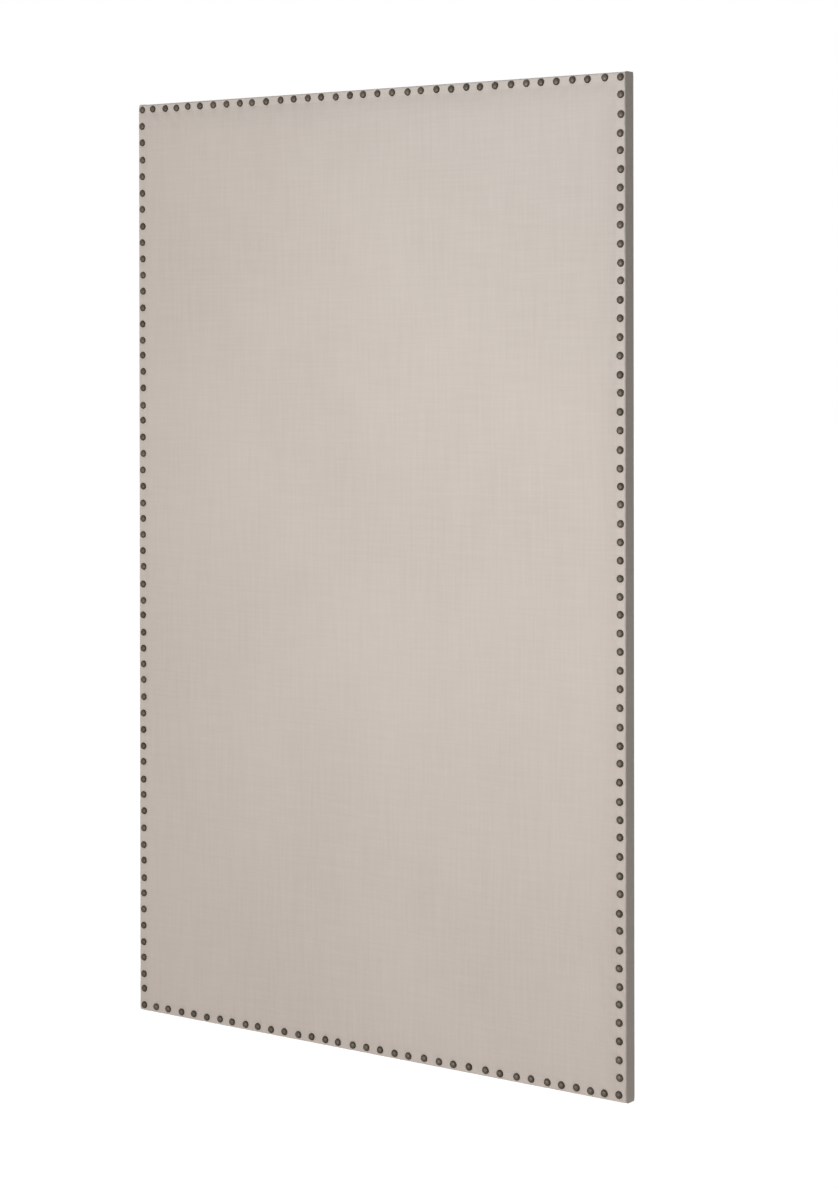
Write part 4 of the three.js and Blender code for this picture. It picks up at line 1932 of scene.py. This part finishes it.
@dataclass(frozen=True)
class Lamp:
    """A soft square lamp.

    Its level is the share of full light that reaches a face at the target turned towards it.
    """

    name: str
    place: tuple[float, float, float]
    target: tuple[float, float, float]
    size: float
    level: float
    tint: tuple[float, float, float] = (1.0, 1.0, 1.0)


@dataclass
class Studio:
    """Camera at the photograph's place, pale floor, white surroundings and soft lamps."""

    place: tuple[float, float, float] = (1.98018, -2.69821, -0.01365)
    azimuth: float = 35.3879
    pitch: float = 0.1701
    roll: float = -0.0825
    lens: float = 79.7129
    shift_y: float = -0.2093
    clip: tuple[float, float] = (0.05, 200.0)
    floor_drop: float = 0.45
    floor_size: float = 60.0
    floor_colour: str = "#e9e8e6"
    floor_roughness: float = 0.9
    floor_specular: float = 0.1
    # What the floor adds to its own light where it is looked at, beside the board and far away:
    # just enough to reach white, so that shadows stay
    floor_glow: tuple[float, float] = (0.41, 0.67)
    floor_fade: tuple[float, float] = (2.0, 5.0)
    ambient: float = 0.4455
    slope: tuple[float, float, float] = (-0.32, 0.0, -0.032)
    surround_tint: tuple[float, float, float] = (0.99, 1.0, 1.015)
    lamps: tuple[Lamp, ...] = (
        Lamp("near", (0.137, -1.026, 0.12), (1.033, -0.028, 0.617), 0.5, 0.1095, (0.824, 1, 1.113)),
        Lamp("low", (0.037, -1.853, -0.744), (0.719, -0.028, 1.68), 0.8, 0.2361, (1.034, 1, 0.982)),
        Lamp("back", (-1.2, 2.2, 1.6), (0.0, 0.0, -0.31), 1.4, 0.5),
    )

    def camera(self) -> Object:
        """Set the camera where the photograph was taken from.

        Returns:
            The camera.
        """
        data = bpy.data.cameras.new("camera")
        data.lens = self.lens
        data.shift_y = self.shift_y
        data.clip_start, data.clip_end = self.clip
        camera = bpy.data.objects.new("camera", data)
        turn, tip = math.radians(self.azimuth), math.radians(self.pitch)
        back = Vector(
            (math.sin(turn) * math.cos(tip), -math.cos(turn) * math.cos(tip), math.sin(tip))
        )
        camera.rotation_mode = "QUATERNION"
        level = (-back).to_track_quat("-Z", "Y")
        camera.rotation_quaternion = level @ Quaternion((0, 0, 1), math.radians(self.roll))
        camera.location = self.place
        bpy.context.scene.collection.objects.link(camera)
        bpy.context.scene.camera = camera
        return camera

    def world(self) -> None:
        """White surroundings for the eye and in gloss, and a soft graded light for all else."""
        world = bpy.data.worlds.new("studio")
        bpy.context.scene.world = world
        world.use_nodes = True
        tree = world.node_tree
        node = partial(add_node, tree)
        through = node("LightPath", out="Is Transmission Ray")
        bright = node("Math", {0: seen_directly(tree), 1: through}, operation="MAXIMUM")
        slant = {0: node("TexCoord", out="Generated"), 1: self.slope}
        graded = node("VectorMath", slant, out="Value", operation="DOT_PRODUCT")
        level = node("Math", {0: graded, 1: self.ambient}, operation="ADD")
        tinted = node("VectorMath", {0: self.surround_tint, "Scale": level}, operation="SCALE")
        looks = {0: bright, MIX_A: tinted, MIX_B: WHITE}
        feed(tree, tree.nodes["Background"], {"Color": node("Mix", looks, **COLOURS)})

    def lamp(self, lamp: Lamp) -> None:
        """Hang a soft square lamp.

        Args:
            lamp: Its place, aim, size, level and tint.
        """
        data = bpy.data.lights.new(lamp.name, "AREA")
        data.shape, data.size = "SQUARE", lamp.size
        data.color = lamp.tint
        place = Vector(lamp.place)
        aim = Vector(lamp.target) - place
        data.energy = lamp.level * math.pi**2 * aim.length_squared
        hung = bpy.data.objects.new(lamp.name, data)
        hung.rotation_mode = "QUATERNION"
        hung.rotation_quaternion = aim.to_track_quat("-Z", "Y")
        hung.location = place
        hung.visible_camera = False
        bpy.context.scene.collection.objects.link(hung)

    def floor(self, foot: float) -> Object:
        """Lay the pale floor that the board's shadow falls on.

        Args:
            foot: Height of the board's foot.

        Returns:
            The floor.
        """
        deselect_all()
        bpy.ops.mesh.primitive_plane_add(size=self.floor_size, location=(0, 0, foot - self.floor_drop))
        floor = bpy.context.object
        floor.name = "floor"
        settle(floor)
        material = bpy.data.materials.new("matt white studio floor")
        material.use_nodes = True
        tree = material.node_tree
        node = partial(add_node, tree)
        level = {0: node("TexCoord", out="Object"), 1: (1, 1, 0)}
        place = node("VectorMath", level, operation="MULTIPLY")
        away = node("VectorMath", {0: place}, out="Value", operation="LENGTH")
        (near, far), (beside, beyond) = self.floor_fade, self.floor_glow
        spread = {0: away, 1: near, 2: far, 3: beside, 4: beyond}
        glow = node("MapRange", spread, interpolation_type="SMOOTHSTEP")
        paint = {
            "Base Color": linear(self.floor_colour),
            "Roughness": self.floor_roughness,
            "Specular IOR Level": self.floor_specular,
            "Emission Color": WHITE,
            "Emission Strength": node("Math", {0: seen_directly(tree), 1: glow}, operation="MULTIPLY"),
        }
        feed(tree, tree.nodes["Principled BSDF"], paint)
        floor.data.materials.append(material)
        return floor

    def build(self, foot: float) -> None:
        """Set up the whole studio round the board.

        Args:
            foot: Height of the board's foot.
        """
        self.camera()
        self.world()
        for lamp in self.lamps:
            self.lamp(lamp)
        self.floor(foot)
        bpy.context.scene.view_settings.view_transform = "Standard"
        log.info("studio: camera, %d lamps, floor and surroundings", len(self.lamps))


def joint_place(name: str) -> Vector:
    """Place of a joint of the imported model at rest."""
    joint = next(j for j in frame["joints"] if j["name"] == name)
    return Vector(joint["pos_m"])


def main() -> None:
    """Build the board piece by piece, then the studio round it."""
    logging.basicConfig(level=logging.INFO, format="%(message)s")
    board_low, board_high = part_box("linen_cover")
    cork_low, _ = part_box("cork_panel")
    wood_low = Vector((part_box("stile_left")[0].x, cork_low.y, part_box("rail_bottom")[0].z))
    wood_high = Vector(
        (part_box("stile_right")[1].x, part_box("stile_left")[1].y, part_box("rail_top")[1].z)
    )
    cloth_gap = board_high.x - wood_high.x
    wrap = Wrap(
        low=board_low,
        high=board_high,
        flat_front=wood_low.y - cloth_gap,
        crown_front=board_low.y - CROWN_PROUD,
    )

    linen = WovenLinen("washed linen, plain weave", roughness=0.9).material()
    bronze = AntiquedBronze("antiqued bronze, plated steel", roughness=0.5).material()
    upright_pine = PlanedPine("planed pine, upright grain", roughness=0.62).material()
    across_pine = PlanedPine("planed pine, grain across", roughness=0.62, along=0).material()
    hardboard = GrainyBoard("tempered hardboard", 0.7, "#85643f", "#5f4328", 0.7 * MM).material()
    cork = GrainyBoard("pressed cork", roughness=0.85).material()
    wadding = PolyesterBatting("bonded polyester batting", roughness=1.0).material()
    paper = KraftPaper("unbleached kraft paper", roughness=0.72).material()
    felt = WoolFelt("die-cut wool felt", roughness=1.0).material()
    zinc = ZincPlatedSteel("zinc plated steel", roughness=0.32).material()
    staple_wire = ZincPlatedSteel("galvanised staple wire", 0.42, "#b9bcbd", "#8e9397").material()

    LinenCover(wrap).build(linen)
    Batting(wrap, cork=wood_low.y).build(wadding)
    PineFrame(wood_low, wood_high, rabbet_floor=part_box("crossbar")[0].y).build(
        upright_pine, across_pine
    )
    NailRun(wrap).build(bronze)
    PanelStack(frame["nodes"]).build(
        {
            "crossbar": across_pine,
            "corner_block": across_pine,
            "backer_board": hardboard,
            "cork_panel": cork,
        }
    )

    paper_low, paper_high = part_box("dust_cover")
    bumpers = [name for name in frame["nodes"] if name.startswith("bumper_")]
    strap_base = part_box("hanger_strap_left")[0].y
    hangers = [
        StrapHanger(hand, joint_place(f"{hand.value}_ring_swing"), strap_base) for hand in Hand
    ]
    seats, screws = [], []
    for name in bumpers:
        low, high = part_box(name)
        seats.append(((low.x + high.x) / 2, (low.z + high.z) / 2, low.y))
    for hanger in hangers:
        for drop in hanger.screw_drops:
            seats.append((hanger.pivot.x, hanger.pivot.z - drop, strap_base))
            screws.append((hanger.pivot.x, hanger.pivot.z - drop))
        seats.append((hanger.pivot.x, hanger.pivot.z - hanger.seat_drop, strap_base))
    PaperBack(paper_low, paper_high, seats, screws).build(paper)
    RimStaples(paper_low, paper_high, seat=paper_high.y).build(staple_wire)
    FeltBumpers(bumpers).build(felt)
    for hanger in hangers:
        hanger.build(zinc)

    Studio().build(board_low.z)


if __name__ == "__main__":
    main()
